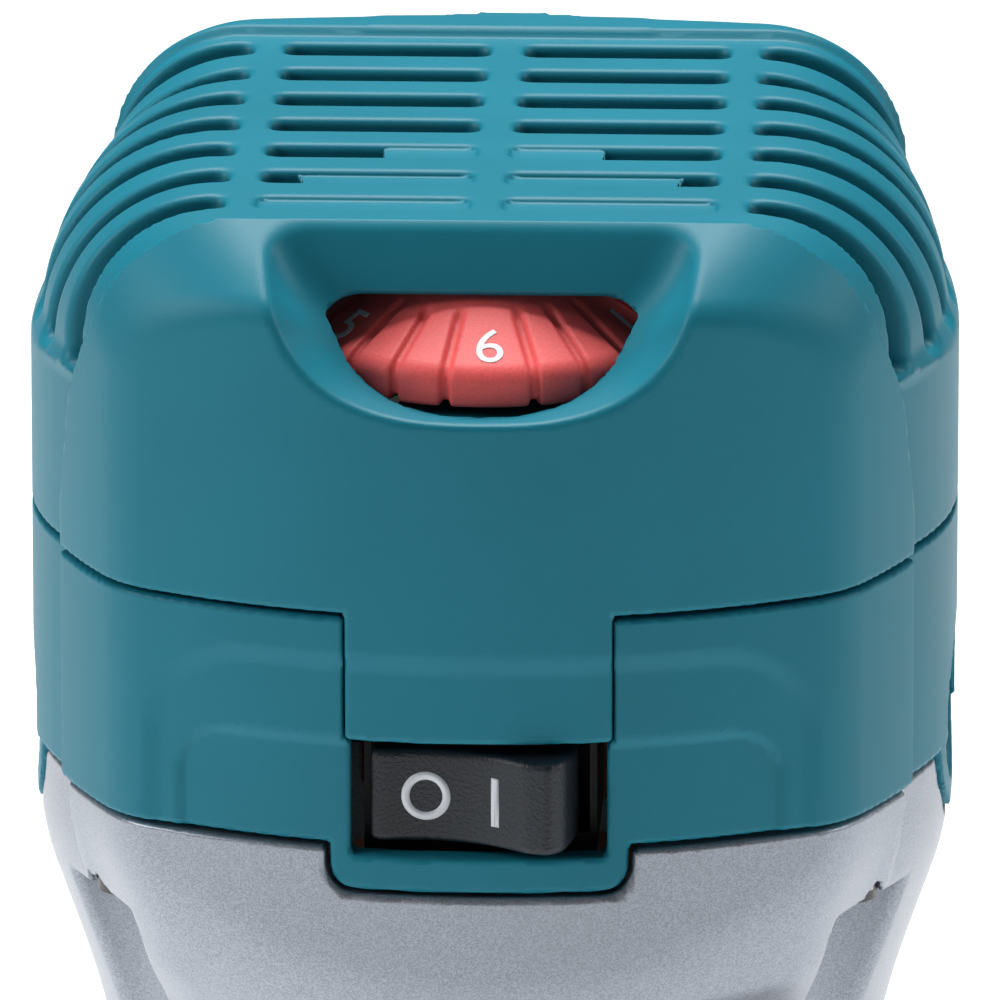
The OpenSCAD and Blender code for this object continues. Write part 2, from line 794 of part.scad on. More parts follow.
// The outline, seen from the front, of what a shoulder vent cuts away
module shoulder_vent() {
    rotate([90, 0, 0]) linear_extrude(vent_gap, center = true) polygon([
        [vent_shoulder_x, z_top - shell_t - 1], [vent_shoulder_x, z_top + 2],
        [head_half + 2, z_top + 2], [head_half + 2, vent_low], [head_half - shell_t - 4.5, vent_low]]);
}

// The pocket in the front of the cap that gives a thumb room on the dial, grown by wall
module scoop(wall) {
    draft = (scoop_r - scoop_inner_r) / (head_half + scoop_lip_y);
    past = 3;
    translate([0, 0, scoop_z]) {
        along_y(scoop_r + wall + draft * past, -head_half - past, head_half + past + scoop_lip_y, scoop_inner_r + wall);
        along_y(scoop_inner_r + wall, scoop_lip_y - eps, scoop_back_y - scoop_lip_y + wall);
    }
}

// The bulge at the back that the cord comes out of
module gland_boss() {
    intersection() {
        translate([0, gland_y - gland_bulge_r, gland_low]) cylinder(r = gland_bulge_r, h = z_top - 0.8 - gland_low);
        translate([-gland_bulge_r, head_half - shell_t - 2, gland_low]) cube([2 * gland_bulge_r, 20, z_top - gland_low]);
    }
}

// The roof over the dial, which closes the front vents from below
module dial_roof() {
    difference() {
        translate([0, dial_y, z_top - shell_t]) cylinder(r = dial_r + shell_t, h = shell_t - 1);
        scoop(0);
    }
}

// The vented cap with the thumb scoop, the switch tongue and the cord boss
module top_cap() {
    color("#21838f") union() {
        dial_roof();
        vented_cap();
    }
}

// The cap without the roof over its dial
module vented_cap() {
    $fn = 64;
    difference() {
        union() {
            difference() {
                head_block(0, z_cap, z_top + 1);
                head_block(shell_t, z_cap - 1, z_top + 2);
            }
            intersection() {
                head_block(0, z_cap + 4, z_top + 1);
                scoop(shell_t);
            }
            intersection() {
                difference() {
                    translate([0, 0, cap_tongue_low]) linear_extrude(z_cap - cap_tongue_low + 1) head_plan(0);
                    translate([0, 0, cap_tongue_low - 1]) linear_extrude(z_cap - cap_tongue_low + 3) head_plan(shell_t);
                }
                translate([-cap_tongue_half, -head_half - 2, cap_tongue_low])
                    cube([2 * cap_tongue_half, 12, z_cap - cap_tongue_low + 1]);
            }
            gland_boss();
            intersection() {
                at_screws() translate([0, 0, z_cap - seam_gap]) cylinder(r = screw_boss_r, h = screw_top + 2 - z_cap);
                head_block(shell_t / 2, z_cap - seam_gap, z_top);
            }
        }
        scoop(0);
        translate([0, dial_y, dial_z - free_gap]) cylinder(r = dial_r + free_gap, h = dial_h + 0.2 + free_gap);
        for (i = [0:vent_rows - 1]) translate([0, vent_y0 + i * vent_pitch, 0]) for (s = [-1, 1]) {
            translate([s * (vent_web + vent_len) / 2, 0, z_top]) top_vent();
            rotate([0, 0, s > 0 ? 0 : 180]) shoulder_vent();
        }
        translate([0, 0, gland_z]) along_y(gland_r, head_half - 8, 20);
        at_screws() translate([0, 0, z_cap - 1]) cylinder(r = screw_r, h = screw_top - z_cap + 1);
    }
}

// The rubber bush that lines the cord's way out
module cord_bush() {
    color("#1d1e20")
    translate([0, 0, gland_z]) difference() {
        union() {
            along_y(gland_r - run_gap, head_half - 5, gland_y - head_half + 5.3);
            along_y(gland_r + 1.4, gland_y + 0.1, 1.6);
        }
        along_y(4, head_half - 6, 20);
    }
}

// The four long screws that hold metal body, housing and cap together
module housing_screws() {
    color("#8d9095")
    at_screws() difference() {
        union() {
            translate([0, 0, screw_pocket_z]) cylinder(r = screw_head_r, h = screw_head_h);
            translate([0, 0, screw_pocket_z + screw_head_h - eps])
                cylinder(r = screw_r, h = screw_top - 1 - screw_pocket_z - screw_head_h);
        }
        for (a = [0, 90]) rotate([0, 0, a])
            translate([-2, -0.4, screw_pocket_z - 0.1]) cube([4, 0.8, 1.6]);
    }
}

// ---------- dial and switch ----------

// The speed dial: an upright rim, a sloping face for the marks and grip grooves between them
module speed_dial() {
    per_mark = 3;
    slope = atan2(dial_slope_h, dial_r - dial_top_r);
    color("#d9606a")
    translate([0, dial_y, dial_z]) difference() {
        rotate_extrude() polygon([
            [pot_shaft_r, 0], [dial_r, 0], [dial_r, dial_rim_h], [dial_top_r, dial_h], [pot_shaft_r, dial_h]]);
        for (m = [0:dial_marks - 1], g = [0:per_mark - 1])
            rotate([0, 0, -90 + m * 360 / dial_marks + (0.5 + (g - 1) * 0.273) * 360 / dial_marks]) {
                translate([dial_r - dial_groove_d, -dial_groove_w / 2, -1])
                    cube([2, dial_groove_w, dial_rim_h + 1.4]);
                translate([dial_r, 0, dial_rim_h]) rotate([0, slope, 0])
                    translate([-sqrt(pow(dial_r - dial_top_r, 2) + pow(dial_slope_h, 2)) + 1.6, -dial_groove_w / 2, -dial_groove_d])
                    cube([9, dial_groove_w, 3]);
            }
    }
}

// The potentiometer's shaft, which turns with the dial
module dial_shaft() {
    color("#c3c6ca")
    translate([0, dial_y, board_z + board_t + 2]) cylinder(r = pot_shaft_r - 0.01, h = dial_z + dial_h - board_z - board_t - 3);
}

// The rocker, seen from above: a long face for off and on, and a raised end
module switch_rocker() {
    half = rocker_w / 2;
    color("#2b2c30")
    translate([rocker_x, 0, switch_z]) union() {
        linear_extrude(rocker_h, center = true) polygon([
            [-half, -36.2], [half - 4, -41.2], [half - 1.2, -40], [half, -37.6],
            [half - 1.6, rocker_pivot_y + 0.6], [4, rocker_pivot_y + 1.6], [-4, rocker_pivot_y + 1.6],
            [-half + 1.2, rocker_pivot_y - 1.2]]);
        translate([0, rocker_pivot_y, 0]) cylinder(r = rocker_pin_r, h = rocker_h + 2 * rocker_pin_l, center = true);
    }
}

// The switch's body, hollow where the rocker dips into it
module switch_body() {
    color("#1f2023")
    translate([0, 0, switch_z]) difference() {
        translate([-switch_body_w / 2, switch_body_y, -switch_body_h / 2])
            cube([switch_body_w, switch_body_d, switch_body_h]);
        translate([-switch_body_w / 2 + 0.6, switch_body_y - 1, -rocker_h / 2 - 0.3])
            cube([switch_body_w - 1.2, 9, rocker_h + 0.6]);
        translate([rocker_x, rocker_pivot_y, 0])
            cylinder(r = rocker_pin_r + run_gap, h = rocker_h + 2 * rocker_pin_l + 0.4, center = true);
    }
}

// The blades at the back of the switch
module switch_terminals() {
    color("#c9a24a")
    for (x = [-5.5, 0, 5.5]) translate([x - 0.4, switch_body_y + switch_body_d, switch_z - 2.4])
        cube([0.8, 2.4, 4.8]);
}

// The speed control's circuit board
module control_board() {
    color("#2f6b46")
    difference() {
        translate([-board_w / 2, -board_d / 2, board_z]) cube([board_w, board_d, board_t]);
        for (y = [-1, 1]) translate([0, y * (board_d / 2 - 3), board_z - 1]) cylinder(r = 1.5, h = board_t + 2);
    }
}

// The potentiometer's body under the dial
module potentiometer() {
    color("#3b4a57")
    translate([0, dial_y, board_z + board_t]) difference() {
        cylinder(r = pot_r, h = pot_h);
        translate([0, 0, 1.8]) cylinder(r = pot_shaft_r + run_gap, h = pot_h);
    }
}

// The larger parts on the board
module board_parts() {
    z = board_z + board_t;
    color("#4a4d52") {
        translate([-5, 14, z]) cylinder(r = 5, h = 11);
        translate([3, 6, z]) cube([9, 5, 12]);
        translate([-11, -6, z]) cube([8, 8, 2.2]);
        translate([2.5, -7, z]) cube([8, 6, 3]);
        translate([7, 18, z]) cylinder(r = 3.2, h = 8);
    }
}

// ---------- motor ----------

// The field's iron: a ring with two poles
module stator_core() {
    color("#5a5d61")
    translate([0, 0, core_z - 1]) difference() {
        cylinder(r = stator_r, h = core_h + 2);
        translate([0, 0, -1]) cylinder(r = stator_bore, h = core_h + 4);
        for (s = [0, 180]) rotate([0, 0, s])
            translate([stator_bore - 2, -9, -1]) cube([6, 18, core_h + 4]);
    }
}

// The field's two coils, one in each gap between the poles
module stator_coils() {
    color("#b5652f")
    for (s = [0, 180]) rotate([0, 0, s])
        translate([stator_bore + 0.1, -8.6, core_z - 4]) cube([3.6, 17.2, core_h + 8]);
}

// The armature's iron with its winding slots
module armature_core() {
    slots = 12;
    color("#6a6d71")
    translate([0, 0, core_z]) difference() {
        cylinder(r = armature_r, h = core_h);
        translate([0, 0, -1]) cylinder(r = shaft_r, h = core_h + 2);
        for (i = [0:slots - 1]) rotate([0, 0, i * 360 / slots])
            translate([armature_r - 5, -0.9, -1]) cube([8, 1.8, core_h + 2]);
    }
}

// The turns of wire at both ends of the armature
module armature_windings() {
    color("#b5652f")
    for (z = [core_z - winding_h, core_z + core_h]) translate([0, 0, z])
        ring(armature_r - 2, shaft_r, winding_h);
}

// The copper bars that the brushes run on
module commutator() {
    bars = 24;
    color("#b87333")
    translate([0, 0, commutator_z]) difference() {
        ring(commutator_r, shaft_r, commutator_h);
        for (i = [0:bars - 1]) rotate([0, 0, i * 360 / bars])
            translate([commutator_r - 1, -0.25, -1]) cube([3, 0.5, commutator_h + 2]);
    }
}

// The cooling fan
module fan() {
    blades = 10;
    fan_r = barrel_in - 1.8;
    color("#3a3c3f")
    translate([0, 0, fan_z]) difference() {
        union() {
            cylinder(r = fan_r, h = 1.6);
            cylinder(r = 10, h = fan_h);
            for (i = [0:blades - 1]) rotate([0, 0, i * 360 / blades])
                translate([8, -0.7, 0]) cube([fan_r - 8.6, 1.4, fan_h]);
        }
        translate([0, 0, -1]) cylinder(r = shaft_r, h = fan_h + 2);
    }
}

// The ring that guides air into the fan
module air_baffle() {
    color("#2a2b2d")
    translate([0, 0, baffle_z]) ring(barrel_in - 0.05, armature_r - 2, baffle_t);
}

// Outer race of a ball bearing
module outer_race(r_out, h) {
    ring(r_out, r_out - 2.6, h);
}

// The balls of a bearing, on one circle
module balls(r_pitch, r, n, z) {
    for (i = [0:n - 1]) rotate([0, 0, i * 360 / n]) translate([r_pitch, 0, z]) sphere(r = r, $fn = 32);
}

// The spindle bearing's outer race
module lower_bearing() {
    color("#a7aab0")
    translate([0, 0, bearing_z]) outer_race(bearing_od / 2 - 0.01, bearing_w);
}

// The spindle bearing's inner race
module lower_bearing_ring() {
    color("#a7aab0")
    translate([0, 0, bearing_z]) ring(bearing_id / 2 + 2.6, bearing_id / 2, bearing_w);
}

// The spindle bearing's balls
module lower_bearing_balls() {
    color("#d5d7da")
    balls((bearing_od + bearing_id) / 4, 1.5, 9, bearing_z + bearing_w / 2);
}

// The top bearing's outer race
module upper_bearing() {
    color("#a7aab0")
    translate([0, 0, top_bearing_z]) outer_race(top_bearing_r - 0.01, top_bearing_w);
}

// The top bearing's inner race
module upper_bearing_ring() {
    color("#a7aab0")
    translate([0, 0, top_bearing_z]) ring(top_journal_r + 2, top_journal_r, top_bearing_w);
}

// The top bearing's balls
module upper_bearing_balls() {
    color("#d5d7da")
    balls(top_journal_r + 3.2, 1.1, 8, top_bearing_z + top_bearing_w / 2);
}

// The plate that holds the spindle bearing in the nose
module bearing_retainer() {
    color("#6f7276")
    translate([0, 0, z_nose + 0.6]) difference() {
        ring(bearing_od / 2 + 4, bearing_id / 2 + 3, bearing_z - z_nose - 0.6);
        for (i = [0:2]) rotate([0, 0, 30 + i * 120])
            translate([bearing_od / 2 + 2, 0, -1]) cylinder(r = 1.4, h = 5);
    }
}

// The screws of the bearing plate
module retainer_screws() {
    color("#c3c6ca")
    for (i = [0:2]) rotate([0, 0, 30 + i * 120]) translate([bearing_od / 2 + 2, 0, 0]) {
        translate([0, 0, z_nose - 0.2]) cylinder(r = 2.1, h = 0.8);
        translate([0, 0, z_nose]) cylinder(r = 1.2, h = bearing_z - z_nose + 5);
    }
}

// The spindle and armature shaft in one piece, with the collet seat at its foot
module spindle() {
    seat_top = nut_z + 3 + collet_h;
    nose_top = z_nose - 4.5;
    color("#c3c6ca")
    difference() {
        union() {
            translate([0, 0, nut_z + 6]) cylinder(r = nose_thread_r, h = nose_top - nut_z - 6);
            translate([0, 0, nose_top - eps]) cylinder(r = bearing_id / 2, h = z_floor + 1 - nose_top);
            translate([0, 0, z_floor + 0.6]) cylinder(r = lock_collar_r, h = 8.8);
            translate([0, 0, z_floor]) cylinder(r = shaft_r, h = commutator_z + commutator_h + 1 - z_floor);
            translate([0, 0, commutator_z]) cylinder(r = top_journal_r, h = top_bearing_z + top_bearing_w - commutator_z);
        }
        translate([0, 0, nut_z]) cylinder(r = collet_r + 0.02, h = seat_top - nut_z);
        translate([0, 0, nut_z]) cylinder(r = shank_d / 2 + 0.5, h = seat_top - nut_z + 10);
        translate([0, 0, z_lock]) for (a = [0, 90]) rotate([0, 0, a]) for (s = [0, 180]) rotate([0, 0, s])
            along_y(lock_pin_r + 0.3, shaft_r + 0.4, lock_collar_r);
    }
}

// The slit cone that grips the tool's shank
module collet() {
    z0 = nut_z + 3;
    color("#8d9095")
    difference() {
        union() {
            translate([0, 0, z0]) cylinder(r = collet_r, h = collet_h);
            translate([0, 0, z0]) cylinder(r1 = collet_r + 1.4, r2 = collet_r, h = 2.6);
        }
        translate([0, 0, z0 - 1]) cylinder(r = shank_d / 2, h = collet_h + 2);
        for (a = [0, 90]) rotate([0, 0, a])
            translate([-collet_r - 2, -0.35, z0 - 1]) cube([2 * collet_r + 4, 0.7, collet_h - 3]);
    }
}

// The nut that draws the collet into its seat
module collet_nut() {
    color("#5a5d61")
    translate([0, 0, nut_z]) difference() {
        union() {
            translate([0, 0, 4]) hex(nut_af, nut_h - 7);
            cylinder(r1 = nut_af / 2 - 2, r2 = nut_af / 2, h = 4 + eps);
            translate([0, 0, nut_h - 3 - eps]) cylinder(r = nut_af / 2, h = 3);
        }
        translate([0, 0, -1]) cylinder(r = collet_r - 0.8, h = 5);
        translate([0, 0, 2.8]) cylinder(r = collet_r + 1.6, h = 4);
        translate([0, 0, 5.8]) cylinder(r = nose_thread_r + run_gap, h = nut_h);
    }
}

// ---------- brushes ----------

// Places its child at both brushes, with +X outwards
module at_brushes() {
    for (s = [0, 180]) rotate([0, 0, s]) translate([0, 0, z_brush]) children();
}

// The brass tubes that guide the brushes
module brush_holders() {
    start = commutator_r + 2;
    reach = head_half - 10.2 - start;
    color("#b8963c")
    at_brushes() difference() {
        translate([start, -brush_tube_w / 2, -brush_tube_h / 2]) cube([reach, brush_tube_w, brush_tube_h]);
        translate([start - 1, -brush_tube_w / 2 + brush_tube_t, -brush_tube_h / 2 + brush_tube_t])
            cube([reach + 2, brush_tube_w - 2 * brush_tube_t, brush_tube_h - 2 * brush_tube_t]);
    }
}

// The carbon brushes, which bear on the commutator
module carbon_brushes() {
    color("#303133")
    at_brushes() difference() {
        translate([commutator_r - 1, -3.1, -4.1]) cube([10, 6.2, 8.2]);
        translate([0, 0, -8]) cylinder(r = commutator_r + 0.05, h = 16);
    }
}

// The springs behind the brushes, one coil drawn as stacked rings
module brush_springs() {
    from = commutator_r + 9.1;
    to = head_half - 8.3;
    turns = 5;
    color("#c3c6ca")
    at_brushes() for (i = [0:turns - 1])
        translate([from + 0.5 + i * (to - from - 1) / (turns - 1), 0, 0]) rotate([0, 90, 0])
            rotate_extrude($fn = 48) translate([2.3, 0]) circle(r = 0.4, $fn = 16);
}

// The slotted caps that close the brush holders
module brush_caps() {
    color("#1f2023")
    at_brushes() difference() {
        along_x(brush_cap_r, head_half - 8, 6.6);
        translate([head_half - 2.8, -1, -brush_cap_r + 1.6]) cube([3, 2, 2 * brush_cap_r - 3.2]);
    }
}

// ---------- spindle lock ----------

// The button whose pin stops the spindle
module lock_button() {
    color("#2b2c30")
    translate([0, 0, z_lock]) {
        along_y(lock_head_r, lock_face_y, lock_head_t);
        along_y(lock_pin_r, lock_face_y + lock_head_t - eps, -lock_face_y - lock_head_t - lock_collar_r - 0.8);
    }
}

// The spring that pushes the button out, drawn as stacked rings
module lock_spring() {
    from = lock_face_y + lock_head_t;
    to = lock_spring_y;
    color("#c3c6ca")
    translate([0, 0, z_lock]) for (t = [0.1, 0.5, 0.9])
        translate([0, from + (to - from) * t, 0]) rotate([90, 0, 0])
            rotate_extrude($fn = 48) translate([3.6, 0]) circle(r = 0.3, $fn = 16);
}

base_plate();
base_screws();
base_casting();
clamp_bolt();
clamp_nut();
cam_saddle();
lock_lever();
lever_pin();
pinion_shaft();
depth_knob();
knob_screw();
shaft_clip();
motor_housing();
depth_scale();
depth_rack();
rack_screws();
stator_core();
stator_coils();
lower_bearing();
bearing_retainer();
retainer_screws();
air_baffle();
upper_housing();
upper_bearing();
brush_holders();
brush_springs();
carbon_brushes();
brush_caps();
switch_body();
switch_terminals();
top_cap();
control_board();
potentiometer();
board_parts();
housing_screws();
cord_bush();
spindle();
collet();
armature_core();
armature_windings();
commutator();
fan();
lower_bearing_ring();
lower_bearing_balls();
upper_bearing_ring();
upper_bearing_balls();
collet_nut();
speed_dial();
dial_shaft();
switch_rocker();
lock_button();
lock_spring();
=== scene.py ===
"""Compact trim router: visible shapes, finishes, light and camera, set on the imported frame.

Shapes are described by signed distances in millimetres (negative inside) and become meshes in metres.
"""

import json
import logging
import math
from dataclasses import dataclass
from enum import Enum
from typing import Callable

import bmesh
import bpy
import numpy as np
import openvdb
from mathutils import Matrix, Vector

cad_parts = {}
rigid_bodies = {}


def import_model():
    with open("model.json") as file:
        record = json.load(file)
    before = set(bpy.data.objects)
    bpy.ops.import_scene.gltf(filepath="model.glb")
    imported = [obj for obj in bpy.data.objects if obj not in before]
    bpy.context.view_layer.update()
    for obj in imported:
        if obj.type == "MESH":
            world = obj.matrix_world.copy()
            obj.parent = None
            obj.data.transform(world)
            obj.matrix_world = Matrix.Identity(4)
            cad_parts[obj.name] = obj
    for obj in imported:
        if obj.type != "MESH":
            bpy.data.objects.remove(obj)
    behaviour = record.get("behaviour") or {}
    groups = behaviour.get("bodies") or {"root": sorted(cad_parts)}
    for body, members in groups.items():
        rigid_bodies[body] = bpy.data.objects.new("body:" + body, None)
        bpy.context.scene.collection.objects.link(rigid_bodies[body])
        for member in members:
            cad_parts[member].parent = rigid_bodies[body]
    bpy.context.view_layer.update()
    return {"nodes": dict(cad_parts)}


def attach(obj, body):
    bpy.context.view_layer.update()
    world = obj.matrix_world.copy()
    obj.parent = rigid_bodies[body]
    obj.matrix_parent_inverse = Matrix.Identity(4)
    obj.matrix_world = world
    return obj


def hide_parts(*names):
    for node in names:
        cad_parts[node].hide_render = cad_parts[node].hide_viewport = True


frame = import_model()
LOG = logging.getLogger("trim_router")
MM = 0.001
FAR = 9.0  # a distance in millimetres that never decides a joint
BAND = 3.0  # half width of a distance grid, in voxels
SKIN_PULLS = 3  # times that vertices are pulled onto a surface
PULL_LIMIT = 0.6  # longest pull, in voxels
WHITE_INK = (0.66, 0.69, 0.74)
BLACK_INK = (0.02, 0.02, 0.022)
Array = np.ndarray
Distance = Callable[[Array, Array, Array], Array]


# ---------- distances ----------


def soft_max(a: Array, b: Array, k: float) -> Array:
    """Joins two distances where both must hold, with an edge rounded by about k."""
    h = np.maximum(k - np.abs(a - b), 0.0) / k
    return np.maximum(a, b) + h * h * k * 0.25


def soft_min(a: Array, b: Array, k: float) -> Array:
    """Joins two distances where either may hold, with a fillet of about k."""
    return -soft_max(-a, -b, k)


def ease(v: Array, width: float) -> Array:
    """Goes smoothly from 0 to 1 while v goes across width about zero."""
    t = np.clip(v / width + 0.5, 0.0, 1.0)
    return t * t * (3.0 - 2.0 * t)


def round_box(u: Array, v: Array, half_u: Array | float, half_v: Array | float, r: float) -> Array:
    """Distance to a rectangle about the origin whose corners have radius r."""
    qu = np.abs(u) - (half_u - r)
    qv = np.abs(v) - (half_v - r)
    return np.hypot(np.maximum(qu, 0.0), np.maximum(qv, 0.0)) + np.minimum(np.maximum(qu, qv), 0.0) - r


# ---------- meshes ----------


def new_object(name: str, points: Array, faces: list | Array) -> bpy.types.Object:
    """Makes a linked, smooth-shaded mesh object.

    Args:
        name: The piece's name.
        points: Vertex places in millimetres.
        faces: Vertex numbers of each face.

    Returns:
        The object, at the origin.
    """
    mesh = bpy.data.meshes.new(name)
    faces = faces.tolist() if isinstance(faces, np.ndarray) else faces
    mesh.from_pydata((np.asarray(points) * MM).tolist(), [], faces)
    mesh.update()
    mesh.shade_smooth()
    obj = bpy.data.objects.new(name, mesh)
    bpy.context.scene.collection.objects.link(obj)
    return obj


def polygonise(values: Array, low: Array, voxel: float) -> tuple[Array, Array]:
    """Turns a block of distances into a closed surface.

    Args:
        values: Distances on the grid, in voxels.
        low: The grid's lowest corner in millimetres.
        voxel: The grid's step in millimetres.

    Returns:
        Vertex places in millimetres, and quads with outward winding.
    """
    grid = openvdb.FloatGrid(BAND)
    grid.copyFromArray(np.ascontiguousarray(np.clip(values, -BAND, BAND), dtype=np.float32))
    grid.gridClass = openvdb.GridClass.LEVEL_SET
    points, _, quads = grid.convertToPolygons(isovalue=0.0, adaptivity=0.0)
    return points.astype(float) * voxel + low, quads[:, ::-1]


def slope_of(shape: Distance, p: Array, step: float = 0.04) -> Array:
    """Gradient of a distance at points p, by central differences."""
    out = np.empty_like(p)
    for axis in range(3):
        d = np.zeros(3)
        d[axis] = step
        a, b = p + d, p - d
        out[:, axis] = (shape(*a.T) - shape(*b.T)) / (2.0 * step)
    return out


def skin(name: str, shape: Distance, low: tuple, high: tuple, voxel: float,
         keep: float = 1.0) -> bpy.types.Object:
    """Makes the surface of a distance as a mesh whose vertices and normals lie on it.

    Args:
        name: The piece's name.
        shape: The signed distance in millimetres.
        low: Lowest corner of the space to search.
        high: Highest corner of it.
        voxel: Step of the search grid.
        keep: Share of the triangles to keep.

    Returns:
        The finished object.
    """
    axes = [np.arange(a, b + voxel, voxel) for a, b in zip(low, high)]
    x, y, z = np.meshgrid(*axes, indexing="ij", sparse=True)
    full = tuple(len(a) for a in axes)
    values = np.broadcast_to(shape(x, y, z), full) / voxel
    points, quads = polygonise(values, np.array(low, float), voxel)
    obj = new_object(name, points, quads)
    if keep < 1.0:
        thin = obj.modifiers.new("thin", "DECIMATE")
        thin.ratio = keep
        obj = baked(obj)
    mesh = obj.data
    co = np.empty(len(mesh.vertices) * 3)
    mesh.vertices.foreach_get("co", co)
    p = co.reshape(-1, 3) / MM
    for _ in range(SKIN_PULLS):
        g = slope_of(shape, p)
        length = np.maximum(np.einsum("ij,ij->i", g, g), 0.2)
        move = np.clip(shape(*p.T) / length, -PULL_LIMIT * voxel, PULL_LIMIT * voxel)
        p = p - g * move[:, None]
    g = slope_of(shape, p)
    g /= np.maximum(np.linalg.norm(g, axis=1), 1e-9)[:, None]
    mesh.vertices.foreach_set("co", (p * MM).ravel())
    mesh.update()
    mesh.normals_split_custom_set_from_vertices(g.tolist())
    return obj


def baked(obj: bpy.types.Object) -> bpy.types.Object:
    """Replaces an object by a plain mesh of what its modifiers give."""
    graph = bpy.context.evaluated_depsgraph_get()
    mesh = bpy.data.meshes.new_from_object(obj.evaluated_get(graph), depsgraph=graph)
    obj.modifiers.clear()
    old, obj.data = obj.data, mesh
    bpy.data.meshes.remove(old)
    return obj


def soften(name: str, node: str, voxel: float, blur: float) -> bpy.types.Object:
    """Copies a CAD node with its hard edges rounded, as casting or moulding leaves them.

    Args:
        name: The new piece's name.
        node: The CAD node it stands for.
        voxel: Grid step in millimetres.
        blur: Spread of the rounding in voxels.

    Returns:
        The new object.
    """
    work = bmesh.new()
    work.from_mesh(frame["nodes"][node].data)
    bmesh.ops.remove_doubles(work, verts=work.verts, dist=1e-6)
    bmesh.ops.triangulate(work, faces=work.faces)
    points = np.array([v.co[:] for v in work.verts]) / MM
    faces = np.array([[v.index for v in f.verts] for f in work.faces], np.uint32)
    work.free()
    low = points.min(0) - 4.0 * voxel
    size = np.ceil((points.max(0) + 4.0 * voxel - low) / voxel).astype(int) + 1
    level = openvdb.FloatGrid.createLevelSetFromPolygons(
        ((points - low) / voxel).astype(np.float32), triangles=faces,
        transform=openvdb.createLinearTransform(1.0), halfWidth=BAND)
    values = np.full(tuple(size), BAND, np.float32)
    level.copyToArray(values)
    span = np.arange(-3, 4)
    kernel = np.exp(-0.5 * (span / blur) ** 2)
    kernel /= kernel.sum()
    for axis in range(3):
        values = sum(w * np.roll(values, int(s), axis) for w, s in zip(kernel, span))
    return new_object(name, *polygonise(values, low, voxel))


# ---------- shader graphs ----------


class Graph:
    """Builds one material's node tree."""

    def __init__(self, name: str) -> None:
        """Starts an empty material with its output and surface shader."""
        self.material = bpy.data.materials.new(name)
        self.material.use_nodes = True
        self.tree = self.material.node_tree
        self.tree.nodes.clear()
        self.out = self.node("ShaderNodeOutputMaterial")
        self.surface = self.node("ShaderNodeBsdfPrincipled")
        self.tree.links.new(self.surface.outputs[0], self.out.inputs[0])
        self.place = self.node("ShaderNodeTexCoord").outputs["Object"]

    def node(self, kind: str, settings: dict | None = None, sockets: dict | None = None) -> bpy.types.Node:
        """Adds a node.

        Args:
            kind: The node's type.
            settings: Its properties, set first.
            sockets: Values or links of its inputs, by name or number.

        Returns:
            The node.
        """
        made = self.tree.nodes.new(kind)
        for key, value in (settings or {}).items():
            setattr(made, key, value)
        for key, value in (sockets or {}).items():
            value = value.socket if isinstance(value, Value) else value
            if isinstance(value, bpy.types.NodeSocket):
                self.tree.links.new(value, made.inputs[key])
            else:
                made.inputs[key].default_value = value
        return made

    def noise(self, scale: float, detail: float = 2.0, rough: float = 0.5) -> "Value":
        """Smooth noise from about 0 to 1, with scale cells a metre."""
        made = self.node("ShaderNodeTexNoise", None, {
            "Vector": self.place, "Scale": scale, "Detail": detail, "Roughness": rough})
        return Value(self, made.outputs[0])

    def cells(self, scale: float) -> "Value":
        """A random value for each small cell, with scale cells a metre."""
        made = self.node("ShaderNodeTexVoronoi", None, {"Vector": self.place, "Scale": scale})
        parts = self.node("ShaderNodeSeparateColor", None, {0: made.outputs["Color"]})
        return Value(self, parts.outputs[0])

    def mix(self, factor: "Value", a: tuple, b: tuple) -> bpy.types.NodeSocket:
        """Colour that goes from a to b with factor."""
        made = self.node("ShaderNodeMix", {"data_type": "RGBA"}, {0: factor, 6: (*a, 1.0), 7: (*b, 1.0)})
        return made.outputs[2]

    def dress(self, **sockets: object) -> None:
        """Sets inputs of the surface shader, with underscores for spaces."""
        for key, value in sockets.items():
            target = self.surface.inputs[key.replace("_", " ")]
            value = value.socket if isinstance(value, Value) else value
            if isinstance(value, bpy.types.NodeSocket):
                self.tree.links.new(value, target)
            else:
                target.default_value = value

    def bump(self, height: "Value", depth: float) -> None:
        """Raises the surface by height times depth in millimetres."""
        made = self.node("ShaderNodeBump", None, {"Height": height, "Distance": depth * MM, "Strength": 1.0})
        self.dress(Normal=made.outputs[0])


@dataclass
class Value:
    """A number that varies over a surface, for use in expressions."""

    graph: Graph
    socket: bpy.types.NodeSocket

    def _math(self, operation: str, *args: object, clamp: bool = False) -> "Value":
        """Adds one Math node."""
        made = self.graph.node("ShaderNodeMath", {"operation": operation, "use_clamp": clamp},
                               dict(enumerate(args)))
        return Value(self.graph, made.outputs[0])

    def __add__(self, other: object) -> "Value":
        """Sum."""
        return self._math("ADD", self, other)

    def __sub__(self, other: object) -> "Value":
        """Difference."""
        return self._math("SUBTRACT", self, other)

    def __mul__(self, other: object) -> "Value":
        """Product."""
        return self._math("MULTIPLY", self, other)

    __radd__ = __add__
    __rmul__ = __mul__

    def clamp(self) -> "Value":
        """The value kept between 0 and 1."""
        return self._math("ADD", self, 0.0, clamp=True)

    def spread(self, low: float, high: float) -> "Value":
        """The value stretched so that low gives 0 and high gives 1."""
        return ((self - low) * (1.0 / (high - low))).clamp()


